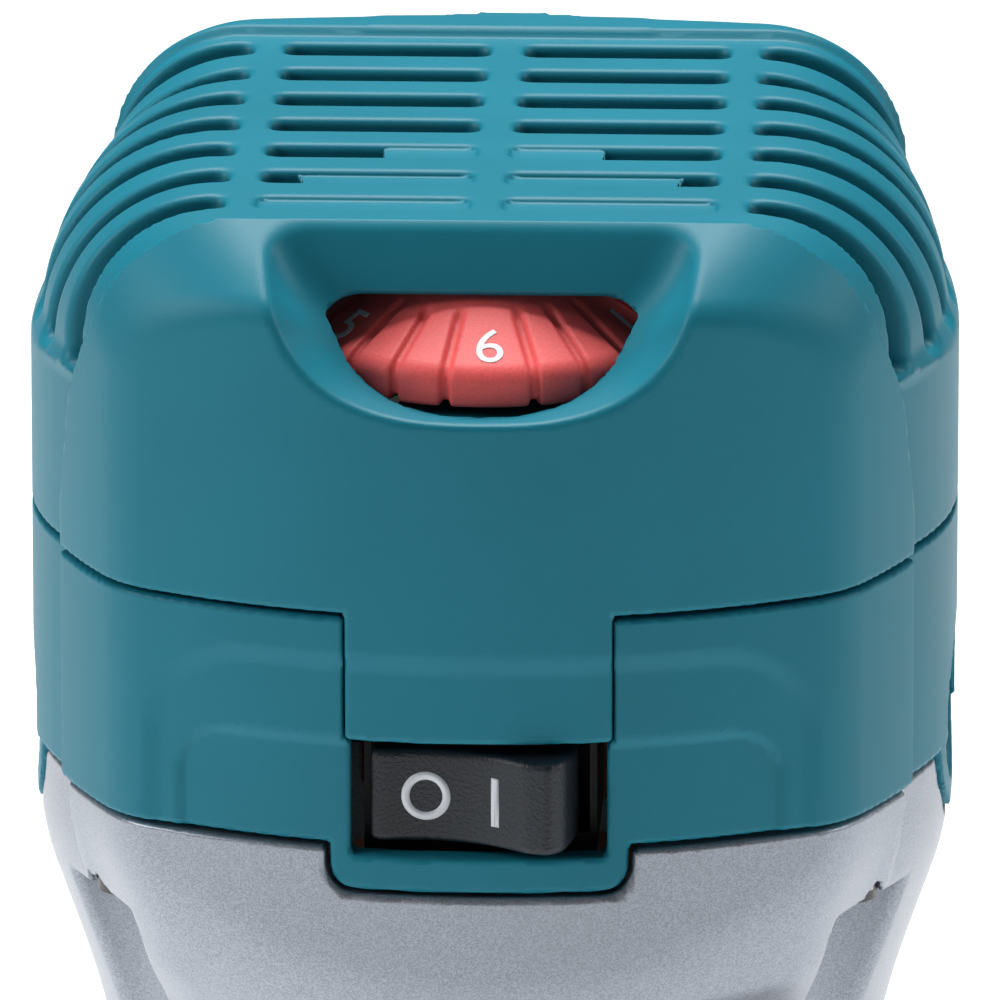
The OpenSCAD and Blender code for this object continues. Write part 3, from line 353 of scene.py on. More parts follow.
@dataclass(frozen=True)
class Plastic:
    """Moulded plastic with a fine spark-eroded grain."""

    name: str
    colour: tuple[float, float, float]
    rough: float = 0.42
    grain_mm: float = 0.16
    depth_mm: float = 0.012
    drift: float = 0.06
    gloss: float = 0.25

    def material(self) -> bpy.types.Material:
        """Builds the material."""
        g = Graph(self.name)
        grain = g.noise(1000.0 / self.grain_mm, 3.0, 0.6)
        broad = g.noise(45.0, 3.0)
        shade = (broad * 0.7 + grain * 0.3).spread(0.35, 0.65)
        low = tuple(c * (1.0 - self.drift) for c in self.colour)
        high = tuple(min(c * (1.0 + self.drift), 1.0) for c in self.colour)
        g.dress(Base_Color=g.mix(shade, low, high), Roughness=broad * 0.10 + (self.rough - 0.05),
                Specular_IOR_Level=self.gloss)
        g.bump(grain, self.depth_mm)
        return g.material


@dataclass(frozen=True)
class SilverPaint:
    """Silver powder coat with fine metal flake."""

    name: str
    colour: tuple[float, float, float]
    rough: float = 0.40
    flake_mm: float = 0.10
    metal: float = 0.72
    dark: float = 0.76
    bright: float = 1.28
    depth_mm: float = 0.022

    def material(self) -> bpy.types.Material:
        """Builds the material."""
        g = Graph(self.name)
        flake = g.cells(1000.0 / self.flake_mm)
        peel = g.noise(900.0, 3.0, 0.6)
        low = tuple(c * self.dark for c in self.colour)
        high = tuple(min(c * self.bright, 1.0) for c in self.colour)
        g.dress(Base_Color=g.mix(flake, low, high), Metallic=self.metal,
                Roughness=flake * 0.16 + (self.rough - 0.08), Coat_Weight=0.15, Coat_Roughness=0.3)
        g.bump(flake * 0.5 + peel * 0.5, self.depth_mm)
        return g.material


@dataclass(frozen=True)
class Metal:
    """Bare or plated metal, cast, drawn or ground."""

    name: str
    colour: tuple[float, float, float]
    rough: float = 0.35
    grain_mm: float = 0.3
    depth_mm: float = 0.01
    metal: float = 1.0
    stain: float = 0.12

    def material(self) -> bpy.types.Material:
        """Builds the material."""
        g = Graph(self.name)
        fine = g.noise(1000.0 / self.grain_mm, 4.0, 0.65)
        broad = g.noise(70.0, 4.0, 0.6)
        low = tuple(c * (1.0 - self.stain) for c in self.colour)
        g.dress(Base_Color=g.mix(broad.spread(0.3, 0.7), low, self.colour), Metallic=self.metal,
                Roughness=fine * 0.12 + broad * 0.10 + (self.rough - 0.11))
        g.bump(fine, self.depth_mm)
        return g.material


@dataclass(frozen=True)
class Print:
    """Flat ink or paint of a mark."""

    name: str
    colour: tuple[float, float, float]

    def material(self) -> bpy.types.Material:
        """Builds the material."""
        g = Graph(self.name)
        speck = g.noise(9000.0, 2.0)
        low = tuple(c * 0.93 for c in self.colour)
        g.dress(Base_Color=g.mix(speck.spread(0.35, 0.65), low, self.colour), Roughness=speck * 0.1 + 0.4)
        return g.material


class Finish(Enum):
    """Every finish on the tool, by the record's material slot."""

    cap_plastic = Plastic("cap_plastic", (0.008, 0.185, 0.258), 0.46)
    housing_plastic = Plastic("housing_plastic", (0.008, 0.178, 0.248), 0.46)
    dial_plastic = Plastic("dial_plastic", (0.84, 0.118, 0.115), 0.48, 0.26, 0.03, 0.2)
    rocker_plastic = Plastic("rocker_plastic", (0.008, 0.012, 0.018), 0.38, 0.30, 0.09, 0.3, 0.42)
    black_plastic = Plastic("black_plastic", (0.018, 0.018, 0.019), 0.5, 0.2, 0.02, 0.2)
    body_paint = SilverPaint("body_paint", (0.325, 0.355, 0.405))
    cast_alloy = Metal("cast_alloy", (0.62, 0.63, 0.64), 0.46, 0.5, 0.035, 0.85)
    lever_metal = Metal("lever_metal", (0.035, 0.035, 0.038), 0.42, 0.25, 0.015, 0.2)
    zinc_steel = Metal("zinc_steel", (0.60, 0.61, 0.60), 0.30, 0.2, 0.006)
    dark_steel = Metal("dark_steel", (0.10, 0.10, 0.105), 0.36, 0.2, 0.008)
    ground_steel = Metal("ground_steel", (0.70, 0.70, 0.71), 0.22, 0.1, 0.004)
    bearing_steel = Metal("bearing_steel", (0.76, 0.76, 0.77), 0.14, 0.1, 0.002)
    lamination = Metal("lamination", (0.28, 0.28, 0.29), 0.5, 0.4, 0.02)
    copper = Metal("copper", (0.62, 0.26, 0.12), 0.32, 0.35, 0.03)
    brass = Metal("brass", (0.72, 0.52, 0.22), 0.3, 0.2, 0.006)
    carbon = Metal("carbon", (0.035, 0.035, 0.037), 0.6, 0.2, 0.012, 0.1)
    board = Plastic("board", (0.03, 0.16, 0.06), 0.38, 0.3, 0.006)
    rubber = Plastic("rubber", (0.016, 0.016, 0.016), 0.62, 0.35, 0.03, 0.2)
    scale_foil = Print("scale_foil", (0.80, 0.81, 0.82))


MADE: dict[str, bpy.types.Material] = {}


def finish_of(name: str) -> bpy.types.Material:
    """The material of a slot, built once."""
    if name not in MADE:
        MADE[name] = Finish[name].value.material()
    return MADE[name]


def ink(name: str, colour: tuple[float, float, float]) -> bpy.types.Material:
    """A printed mark's material, built once."""
    if name not in MADE:
        MADE[name] = Print(name, colour).material()
    return MADE[name]


def settle(obj: bpy.types.Object, body: str, slot: str, *nodes: str,
           material: bpy.types.Material | None = None) -> bpy.types.Object:
    """Dresses a piece, sets it on its body and lets it stand for CAD nodes.

    Args:
        obj: The piece.
        body: The body it rides on.
        slot: The record's material slot.
        nodes: CAD nodes that it replaces.
        material: A material other than the slot's.

    Returns:
        The piece.
    """
    obj.data.materials.clear()
    obj.data.materials.append(material or finish_of(slot))
    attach(obj, body)
    if nodes:
        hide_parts(*nodes)
    LOG.info("%s: %d faces on %s", obj.name, len(obj.data.polygons), body)
    return obj


# ---------- the head ----------


@dataclass
class Head:
    """Form that cap, upper housing and metal skirt share, with the lines that divide them."""

    top: float = 200.0
    cap_low: float = 168.7
    seam: float = 148.6
    gap: float = 0.35
    half: float = 39.2
    bow: float = 56.0
    wall: float = 2.5
    side_bow: float = 123.0
    rear_bow: float = 150.0
    rear_corner: float = 49.5
    shoulder: float = 12.0
    deck_shoulder: float = 16.0
    tongue_half: float = 12.4
    tongue_low: float = 144.6
    cap_tongue_half: float = 11.1
    cap_tongue_low: float = 157.6
    side_tongue_r: float = 9.5
    brush_z: float = 150.8
    lip_y: float = 33.0
    fall: float = 0.55
    fall_from: float = -27.0
    deck_sink: float = 0.9
    deck_low: float = 184.5
    step_deep: float = 1.2
    step_reach: float = 15.0
    relief_deep: float = 0.4
    relief_low: float = 142.6
    tongue_tall: float = 10.0
    cap_tongue_tall: float = 8.0

    def ridge(self, z: Array) -> Array:
        """Y of the edge where the front frame ends and the vented deck begins."""
        return np.interp(z, [173.0, 183.0, 190.0, 197.0], [-18.7, -21.0, -25.5, -27.0])

    def step(self, y: Array, z: Array) -> Array:
        """Depth of the step behind the front frame, which fades out to the rear."""
        behind = y - self.ridge(z)
        fade = (1.0 - np.clip(behind / self.step_reach, 0.0, 1.0)) ** 2
        return self.step_deep * ease(behind, self.step_deep) * fade

    def plain(self, x: Array, y: Array, z: Array) -> Array:
        """Distance to the bowed block with its arched shoulders."""
        back = self.bow - self.half
        ahead = np.sqrt(np.maximum(self.bow ** 2 - y * y, 1.0)) - back
        behind = np.sqrt(np.maximum(self.side_bow ** 2 - y * y, 1.0)) - (self.side_bow - self.half)
        width = np.where(y < 0.0, ahead, behind)
        deck = ease(y + 17.0, 18.0) * ease(self.lip_y - 5.0 - y, 10.0)
        round_r = self.shoulder + (self.deck_shoulder - self.shoulder) * deck
        top = self.top - self.fall * np.maximum(self.fall_from - y, 0.0)
        qx = np.abs(x) - (width - round_r)
        qz = z - (top - round_r)
        arch = (np.hypot(np.maximum(qx, 0.0), np.maximum(qz, 0.0))
                + np.minimum(np.maximum(qx, qz), 0.0) - round_r)
        front = np.hypot(x, y - back) - self.bow
        rear = np.hypot(x, y + self.rear_bow - self.half) - self.rear_bow
        corner = np.where(y > 0.0, np.hypot(x, y) - self.rear_corner, -FAR)
        return soft_max(soft_max(soft_max(arch, front, 1.2), rear, 3.0), corner, 2.0)

    def outer(self, x: Array, y: Array, z: Array) -> Array:
        """Distance to the head with its sunk deck and the step down its flanks."""
        behind = y - self.ridge(z)
        high = ease(z - self.deck_low, 3.0)
        deck = self.deck_sink * ease(behind, self.deck_sink) * ease(self.lip_y - y, 1.2) * high
        flank = self.step(y, z) * (1.0 - high)
        front = ease(-y - 20.0, 6.0)
        wide = round_box(x, z - 144.5, 27.5, 20.0, 8.0)
        narrow = round_box(x, z - 137.5, 25.0, 20.0, 4.0)
        relief = front * (self.relief_deep * ease(-wide, 2.2) + self.relief_deep * ease(-narrow, 1.0))
        relief = relief * (z > self.relief_low)
        return self.plain(x, y, z) + np.maximum(deck, flank) + relief

    def flanks(self, x: Array, y: Array, z: Array) -> Array:
        """Distance to the head without deck and reliefs, with the step down its flanks."""
        return self.plain(x, y, z) + self.step(y, z)

    def housing_part(self, x: Array, y: Array, z: Array) -> Array:
        """Distance to the space above the lower seam, with the tongues that hang from it."""
        front = round_box(x, z - self.tongue_low - self.tongue_tall, self.tongue_half, self.tongue_tall, 2.2)
        front = soft_max(front, y + 20.0, 0.2)
        side = np.maximum(np.hypot(y, z - self.brush_z) - self.side_tongue_r, 20.0 - np.abs(x))
        return soft_min(np.minimum(self.seam - z, front), side, 0.6)

    def cap_part(self, x: Array, y: Array, z: Array) -> Array:
        """Distance to the space above the upper seam, with the tongue over the switch."""
        rise = z - self.cap_tongue_low - self.cap_tongue_tall
        tongue = round_box(x, rise, self.cap_tongue_half, self.cap_tongue_tall, 0.5)
        return np.minimum(self.cap_low - z, np.maximum(tongue, y + 20.0))


HEAD = Head()


@dataclass
class TopCap:
    """Vented cap with its thumb scoop and the boss for the cord."""

    rows: int = 7
    pitch: float = 8.2
    first_row: float = -20.2
    slot_half: float = 1.8
    slot_in: float = 1.5
    slot_out: float = 19.1
    side_slot_in: float = 21.8
    side_slot_low: float = 184.5
    scoop_z: float = 200.4
    scoop_r: float = 17.8
    scoop_deep_r: float = 15.0
    blind: tuple[float, ...] = (20.5, 15.9, 9.3, 0.0, 0.0, 0.0, 0.0)
    dial_y: float = -20.0
    dial_room: float = 16.5
    roof_r: float = 20.6
    roof_z: float = 198.6
    cord_z: float = 187.0
    cord_r: float = 6.4
    flare_over: float = 8.0
    back_y: float = 28.0
    back_lean: float = 0.234
    roof_low: float = 196.6
    pocket_low: float = 185.0
    pocket_high: float = 193.75
    mouth_y: float = -27.5
    mouth_half: float = 13.9
    mouth_tall: float = 7.75
    boss_half: float = 11.5
    boss_in: float = 34.0
    boss_floor: float = 36.0

    def scoop(self, x: Array, y: Array, z: Array) -> Array:
        """Distance to the hollow that gives a thumb room on the dial."""
        flare = np.clip(1.0 + HEAD.plain(x, y, z) / self.flare_over, 0.0, 1.2)
        wide = self.scoop_deep_r + (self.scoop_r - self.scoop_deep_r) * flare
        power = 2.0 + 0.8 * np.clip(flare, 0.0, 1.0)
        across = np.abs(x) * self.scoop_deep_r / wide + 1e-3
        down = np.abs(z - self.scoop_z) + 1e-3
        bowl = (across ** power + down ** power) ** (1.0 / power) - self.scoop_deep_r
        back = y + self.back_y + (HEAD.top - z) * self.back_lean
        return soft_max(bowl, back, 3.0)

    def vents(self, x: Array, y: Array, z: Array, skin_d: Array) -> Array:
        """Distance to all the slots in the deck and down the shoulders."""
        row = np.clip(np.round((y - self.first_row) / self.pitch), 0, self.rows - 1)
        across = y - self.first_row - row * self.pitch
        middle = (self.slot_in + self.slot_out) / 2.0
        top = round_box(np.abs(x) - middle, across, (self.slot_out - self.slot_in) / 2.0, self.slot_half, 1.2)
        closed = np.abs(x) < np.take(np.array(self.blind), row.astype(int))
        floor = np.where(closed, self.roof_z, self.top_inside) - z
        top = np.maximum(top, floor)
        side = np.maximum(np.abs(across) - self.slot_half, -4.0 - skin_d)
        side = soft_max(side, self.side_slot_in - np.abs(x), 1.6)
        side = soft_max(side, self.side_slot_low - z, 1.6)
        return np.minimum(top, side)

    @property
    def top_inside(self) -> float:
        """Height below which a deck slot is open."""
        return HEAD.top - HEAD.wall - 3.0

    def shape(self, x: Array, y: Array, z: Array) -> Array:
        """Distance to the whole cap."""
        skin_d = HEAD.outer(x, y, z)
        boss = np.maximum(np.hypot(x, y - 24.2) - 18.0, np.abs(z - self.cord_z) - 12.0)
        boss = soft_max(boss, np.abs(x) - self.boss_half, 1.5)
        boss = np.maximum(boss, self.boss_in - y)
        solid = soft_min(skin_d, boss, 1.5)
        hollow = HEAD.plain(x, y, z) + HEAD.wall + 0.9
        bowl = self.scoop(x, y, z)
        roof = np.maximum(np.hypot(x, y - self.dial_y) - self.roof_r, self.roof_low - z)
        hollow = np.maximum(hollow, -np.minimum(bowl - HEAD.wall, roof))
        hollow = np.maximum(hollow, -soft_max(boss, self.boss_floor - y, 1.0))
        shell = soft_max(solid, -hollow, 0.4)
        shell = soft_max(shell, HEAD.cap_part(x, y, z), 0.35)
        shell = soft_max(shell, -self.vents(x, y, z, skin_d), 0.8)
        shell = soft_max(shell, -bowl, 0.7)
        out = np.hypot(x, y - self.dial_y)
        pocket = np.maximum(np.maximum(out - self.dial_room, z - self.pocket_high), self.pocket_low - z)
        mouth = round_box(x, z - self.pocket_low - 1.0, self.mouth_half, self.mouth_tall, 4.0)
        pocket = np.maximum(pocket, np.where(y < self.mouth_y, mouth, -FAR))
        shell = soft_max(shell, -pocket, 0.25)
        bore = np.maximum(np.hypot(x, z - self.cord_z) - self.cord_r, 30.0 - y)
        return np.maximum(shell, -bore)

    def build(self) -> None:
        """Makes the cap."""
        obj = skin("cap_shell", self.shape, (-41, -41, 155.5), (41, 45, 202), 0.5, 0.62)
        settle(obj, "motor_unit", "cap_plastic", "top_cap")


@dataclass
class UpperHousing:
    """Band of plastic between cap and metal body, with the switch opening."""

    opening_half: float = 10.65
    opening_low: float = 147.7
    brush_cap_r: float = 7.05
    brush_cap_in: float = 30.4
    tongue_gap: float = 0.12
    overlap: float = 1.0
    tongue_in: float = 25.0
    proud: float = 0.1

    def shape(self, x: Array, y: Array, z: Array) -> Array:
        """Distance to the housing."""
        skin_d = HEAD.outer(x, y, z)
        shell = soft_max(skin_d, -(HEAD.plain(x, y, z) + HEAD.wall + 0.7), 0.4)
        shell = soft_max(shell, z - (HEAD.cap_low - HEAD.gap), 0.35)
        shell = soft_max(shell, HEAD.housing_part(x, y, z), 0.35)
        shell = soft_max(shell, -(HEAD.cap_part(x, y, z) - self.tongue_gap), 0.2)
        middle = (self.opening_low + HEAD.cap_tongue_low + self.overlap) / 2.0
        tall = (HEAD.cap_tongue_low + self.overlap - self.opening_low) / 2.0
        opening = np.maximum(round_box(x, z - middle, self.opening_half, tall, 0.6), y + 20.0)
        shell = soft_max(shell, -opening, 0.5)
        hang = BODY.outside(x, y, z) - self.proud
        shell = np.maximum(shell, np.where((z < HEAD.seam) & (np.abs(x) > self.tongue_in), hang, -FAR))
        hole = np.maximum(np.hypot(y, z - HEAD.brush_z) - self.brush_cap_r, self.brush_cap_in - np.abs(x))
        return soft_max(shell, -hole, 0.4)

    def build(self) -> None:
        """Makes the housing."""
        obj = skin("housing_shell", self.shape, (-41, -41, 139.5), (41, 41, 170), 0.55, 0.75)
        settle(obj, "motor_unit", "housing_plastic", "upper_housing")


@dataclass
class MetalBody:
    """Die-cast body: four-sided skirt, flare, round barrel and nose."""

    barrel: float = 32.5
    nose: float = 28.0
    edge: float = 0.5
    nose_low: float = 38.0
    floor: float = 52.0
    bore: float = 27.5
    skin_step: float = 0.4
    pocket_r: float = 6.2
    pocket_at: float = 38.2
    pocket_top: float = 138.7
    screw_angle: float = 32.0
    lock_z: float = 57.0
    rack_half: float = 4.55
    rack_low: float = 52.95
    rack_high: float = 104.5
    rack_in: float = 28.4
    screw_in: float = 3.0
    screw_r: float = 3.15
    button_r: float = 5.6
    pin_r: float = 2.55
    outlet_at: float = 24.0
    outlet_r: float = 2.6
    flare_low: float = 112.0
    flare_from: float = 122.5
    flare_slope: float = 0.36
    nose_top: float = 50.0
    nose_slope: float = 1.125
    chin: float = 2.4

    def radius(self, x: Array, y: Array, z: Array) -> Array:
        """Radius of the flare at each height, with the chins at front and back."""
        rise = self.flare_slope * 3.0 * np.logaddexp(0.0, (z - self.flare_from) / 3.0)
        away = np.degrees(np.arctan2(np.abs(x), np.abs(y) + 1e-6))
        chin = 1.0 - ease(away - 49.0, 18.0)
        return self.barrel + rise * (z > 100.0) + self.chin * chin * ease(z - 131.0, 8.0)

    def outside(self, x: Array, y: Array, z: Array) -> Array:
        """Distance to the flared outside above the barrel."""
        r = np.hypot(x, y)
        square = (np.abs(x) ** 3.2 + np.abs(y) ** 3.2 + 1e-6) ** (1.0 / 3.2)
        rear = ease(y - 12.0, 24.0) * ease(z - 130.0, 20.0)
        skirt = HEAD.flanks(x, y, z) + self.skin_step
        cone = (r + (square - r) * rear - self.radius(x, y, z)) * 0.94
        return soft_max(skirt, cone, 1.3)

    def shape(self, x: Array, y: Array, z: Array) -> Array:
        """Distance to the body."""
        r = np.hypot(x, y)
        body = np.where(z < self.flare_low, r - self.barrel, self.outside(x, y, z))
        cone = (r - self.nose - (z - self.nose_top) * self.nose_slope) * 0.66
        nose = np.where(z < self.nose_top, r - self.nose, cone)
        body = soft_max(body, np.where(z < self.nose_top + 6.0, nose, body), 0.6)
        body = soft_max(body, self.nose_low - z, 0.8)
        body = soft_max(body, z - (HEAD.seam - HEAD.gap), self.edge)
        body = soft_max(body, -(HEAD.housing_part(x, y, z) - HEAD.gap), self.edge)
        wide = np.minimum(self.bore + np.maximum(z - 124.0, 0.0) * 0.45, 34.0)
        inside = np.maximum(np.maximum(r - wide, self.floor - z), HEAD.plain(x, y, z) + 3.9)
        pocket_y = np.abs(y) - self.pocket_at * math.sin(math.radians(self.screw_angle))
        pocket_x = np.abs(x) - self.pocket_at * math.cos(math.radians(self.screw_angle))
        pocket = soft_max(np.hypot(pocket_x, pocket_y) - self.pocket_r, z - self.pocket_top, 0.4)
        lock = np.hypot(x, z - self.lock_z)
        keep = np.minimum(pocket - 2.4, np.maximum(lock - 7.5, y + 22.5))
        body = soft_max(body, -np.maximum(inside, -keep), 0.5)
        body = soft_max(body, -pocket, 0.9)
        screw_y = np.abs(y) - (self.pocket_at - self.screw_in) * math.sin(math.radians(self.screw_angle))
        screw_x = np.abs(x) - (self.pocket_at - self.screw_in) * math.cos(math.radians(self.screw_angle))
        sink = np.maximum(np.hypot(screw_x, screw_y) - self.screw_r, np.abs(z - self.pocket_top - 1.3) - 1.3)
        body = np.maximum(body, -sink)
        button = np.maximum(lock - self.button_r, y + 24.5)
        body = soft_max(body, -button, 0.6)
        body = np.maximum(body, -np.maximum(lock - self.pin_r, y))
        rack = np.maximum(np.abs(x) - self.rack_half, self.rack_in - y)
        middle = (self.rack_low + self.rack_high) / 2.0
        rack = np.maximum(rack, np.abs(z - middle) - (self.rack_high - self.rack_low) / 2.0)
        body = np.maximum(body, -rack)
        body = np.maximum(body, -np.maximum(r - 11.0, z - 53.0))
        body = np.maximum(body, -np.maximum(r - 16.0, np.abs(z - 45.5) - 4.5))
        body = soft_max(body, -np.maximum(r - 20.2, z - 41.0), 0.4)
        turn = np.arctan2(y, x)
        turn = turn - np.round(turn / (math.pi / 3.0)) * (math.pi / 3.0)
        outlet = np.hypot(r * np.cos(turn) - self.outlet_at, r * np.sin(turn)) - self.outlet_r
        outlet = np.maximum(outlet, z - 53.0)
        return soft_max(body, -outlet, 0.4)

    def build(self) -> None:
        """Makes the body."""
        obj = skin("motor_body", self.shape, (-41, -41, 36.5), (41, 41, 150.5), 0.68, 1.0)
        settle(obj, "motor_unit", "body_paint", "motor_housing")


BODY = MetalBody()


# ---------- controls ----------


@dataclass
class SpeedDial:
    """Numbered wheel with ribs between its marks."""

    at_y: float = -20.0
    low: float = 185.9
    radius: float = 16.0
    rim: float = 3.0
    rise: float = 4.8
    top_r: float = 8.0
    groove_half: float = 0.36
    groove_deep: float = 0.45
    marks: int = 6
    digit_tall: float = 3.8
    digit_size: float = 1.4
    digit_reach: float = 13.5
    phase: float = 3.2
    sector: float = 60.0
    grooves: tuple[float, ...] = (13.6, 30.0, 46.4)
    bore: float = 3.0

    def shape(self, x: Array, y: Array, z: Array) -> Array:
        """Distance to the wheel with its grooves."""
        dx, dy, dz = x, y - self.at_y, z - self.low
        r = np.hypot(dx, dy)
        run = self.radius - self.top_r
        long = math.hypot(run, self.rise)
        slope = ((r - self.radius) * self.rise + (dz - self.rim) * run) / long
        wheel = soft_max(soft_max(r - self.radius, slope, 1.0), -dz, 0.5)
        wheel = soft_max(wheel, dz - self.rim - self.rise, 0.5)
        turn = np.mod(np.degrees(np.arctan2(dy, dx)) + 90.0 - self.phase, self.sector)
        cut = np.full_like(turn, FAR)
        for at in self.grooves:
            off = np.abs(r * np.sin(np.radians(turn - at)))
            cut = np.minimum(cut, off)
        groove = soft_max(cut - self.groove_half, -(wheel + self.groove_deep), 0.3)
        groove = soft_max(groove, 9.8 - r, 0.8)
        wheel = soft_max(wheel, -groove, 0.45)
        return np.maximum(wheel, self.bore - r)

    def digit(self, number: int) -> bpy.types.Object:
        """Makes one raised digit on the slope.

        Args:
            number: The number on the mark.

        Returns:
            The digit as a mesh in place.
        """
        curve = bpy.data.curves.new(f"digit_{number}", "FONT")
        curve.body = str(number)
        curve.size = self.digit_tall * MM * self.digit_size
        curve.align_x, curve.align_y = "CENTER", "CENTER"
        curve.extrude = 0.06 * MM
        curve.offset = -0.01 * MM
        text = bpy.data.objects.new(f"digit_{number}", curve)
        bpy.context.scene.collection.objects.link(text)
        graph = bpy.context.evaluated_depsgraph_get()
        mesh = bpy.data.meshes.new_from_object(text.evaluated_get(graph), depsgraph=graph)
        bpy.data.objects.remove(text)
        angle = math.radians(self.phase - 90.0 - self.sector * (self.marks - number))
        slope = math.atan2(self.rise, self.radius - self.top_r)
        out = Vector((math.cos(angle), math.sin(angle), 0.0))
        across = Vector((-math.sin(angle), math.cos(angle), 0.0))
        up = Vector((0, 0, math.sin(slope))) - out * math.cos(slope)
        normal = out * math.sin(slope) + Vector((0, 0, math.cos(slope)))
        height = self.low + self.rim + (self.radius - self.digit_reach) * math.tan(slope)
        spot = Vector((0.0, self.at_y, 0.0)) + out * self.digit_reach + Vector((0.0, 0.0, height))
        place = Matrix((across, up, normal)).transposed().to_4x4()
        mesh.transform(Matrix.Translation(spot * MM) @ place)
        obj = bpy.data.objects.new(f"digit_{number}", mesh)
        bpy.context.scene.collection.objects.link(obj)
        return obj

    def build(self) -> None:
        """Makes the wheel and its digits."""
        obj = skin("dial_wheel", self.shape, (-17, -37, 185), (17, -3, 194.7), 0.22, 0.7)
        settle(obj, "dial", "dial_plastic", "speed_dial")
        for number in range(1, self.marks + 1):
            settle(self.digit(number), "dial", "dial_plastic", material=ink("white_ink", WHITE_INK))


@dataclass
class Rocker:
    """Rocker with a long off face and a raised ridge."""

    at_x: float = -0.4
    at_z: float = 152.65
    half_high: float = 4.0
    back: float = -30.6
    half_wide: float = 8.6
    hollow_at: tuple[float, float] = (-5.0, -50.6)
    hollow_r: float = 13.8
    pin_y: float = -31.5
    pin_r: float = 1.2
    off_x: float = -4.4
    on_x: float = 1.4

    @property
    def outline(self) -> list[tuple[float, float]]:
        """Corners of the face seen from above, from left to right."""
        return [(-8.6, -36.8), (4.4, -40.5), (6.2, -41.0), (7.6, -39.8), (8.15, -37.6)]

    def shape(self, x: Array, y: Array, z: Array) -> Array:
        """Distance to the rocker."""
        u, v = x - self.at_x, y
        solid = soft_max(np.abs(u) - self.half_wide, v - self.back, 0.6)
        pts = self.outline
        for (ax, ay), (bx, by) in zip(pts, pts[1:]):
            length = math.hypot(bx - ax, by - ay)
            side = ((u - ax) * (by - ay) - (v - ay) * (bx - ax)) / length
            solid = soft_max(solid, side, 0.45)
        hollow = np.hypot(u - self.hollow_at[0], v - self.hollow_at[1]) - self.hollow_r
        solid = soft_max(solid, -hollow, 0.3)
        solid = soft_max(solid, np.abs(z - self.at_z) - self.half_high, 0.7)
        pin = np.maximum(np.hypot(u, v - self.pin_y) - self.pin_r, np.abs(z - self.at_z) - 5.4)
        return np.minimum(solid, pin)

    def face_y(self, x: float) -> float:
        """Y of the front face at x."""
        spots = np.arange(-43.0, -34.0, 0.005)
        inside = self.shape(np.full_like(spots, x), spots, np.full_like(spots, self.at_z)) < 0.0
        return float(spots[np.argmax(inside)])

    def mark(self, name: str, rings: list[list[tuple[float, float]]]) -> bpy.types.Object:
        """Makes a thin mark that lies on the face.

        Args:
            name: The mark's name.
            rings: Two matching loops of (x, z offset), outer then inner.

        Returns:
            The mark.
        """
        points, faces = [], []
        count = len(rings[0])
        for lift in (0.03, -0.25):
            for loop in rings:
                points += [(px, self.face_y(px) - lift, self.at_z + pz) for px, pz in loop]
        for i in range(count):
            j = (i + 1) % count
            a, b, c, d = 0, count, 2 * count, 3 * count
            faces += [(a + j, a + i, b + i, b + j), (c + i, c + j, d + j, d + i)]
            faces += [(a + i, a + j, c + j, c + i), (b + j, b + i, d + i, d + j)]
        obj = new_object(name, np.array(points), faces)
        work = bmesh.new()
        work.from_mesh(obj.data)
        bmesh.ops.recalc_face_normals(work, faces=work.faces)
        work.to_mesh(obj.data)
        work.free()
        return obj

    def build(self) -> None:
        """Makes the rocker and its two marks."""
        obj = skin("rocker_cap", self.shape, (-10.5, -43, 146.5), (9.5, -29, 158.8), 0.2, 0.8)
        settle(obj, "rocker", "rocker_plastic", "switch_rocker")
        white = ink("white_ink", WHITE_INK)
        turns = [2.0 * math.pi * i / 48 for i in range(48)]
        ring = [[(self.off_x + r * math.cos(t), r * 1.02 * math.sin(t)) for t in turns] for r in (2.05, 1.38)]
        settle(self.mark("mark_off", ring), "rocker", "rocker_plastic", material=white)
        on = self.on_x
        bar = [[(on - w, -h), (on + w, -h), (on + w, h), (on - w, h)] for w, h in ((0.34, 2.1), (0.004, 1.8))]
        settle(self.mark("mark_on", bar), "rocker", "rocker_plastic", material=white)


# ---------- base and small parts ----------


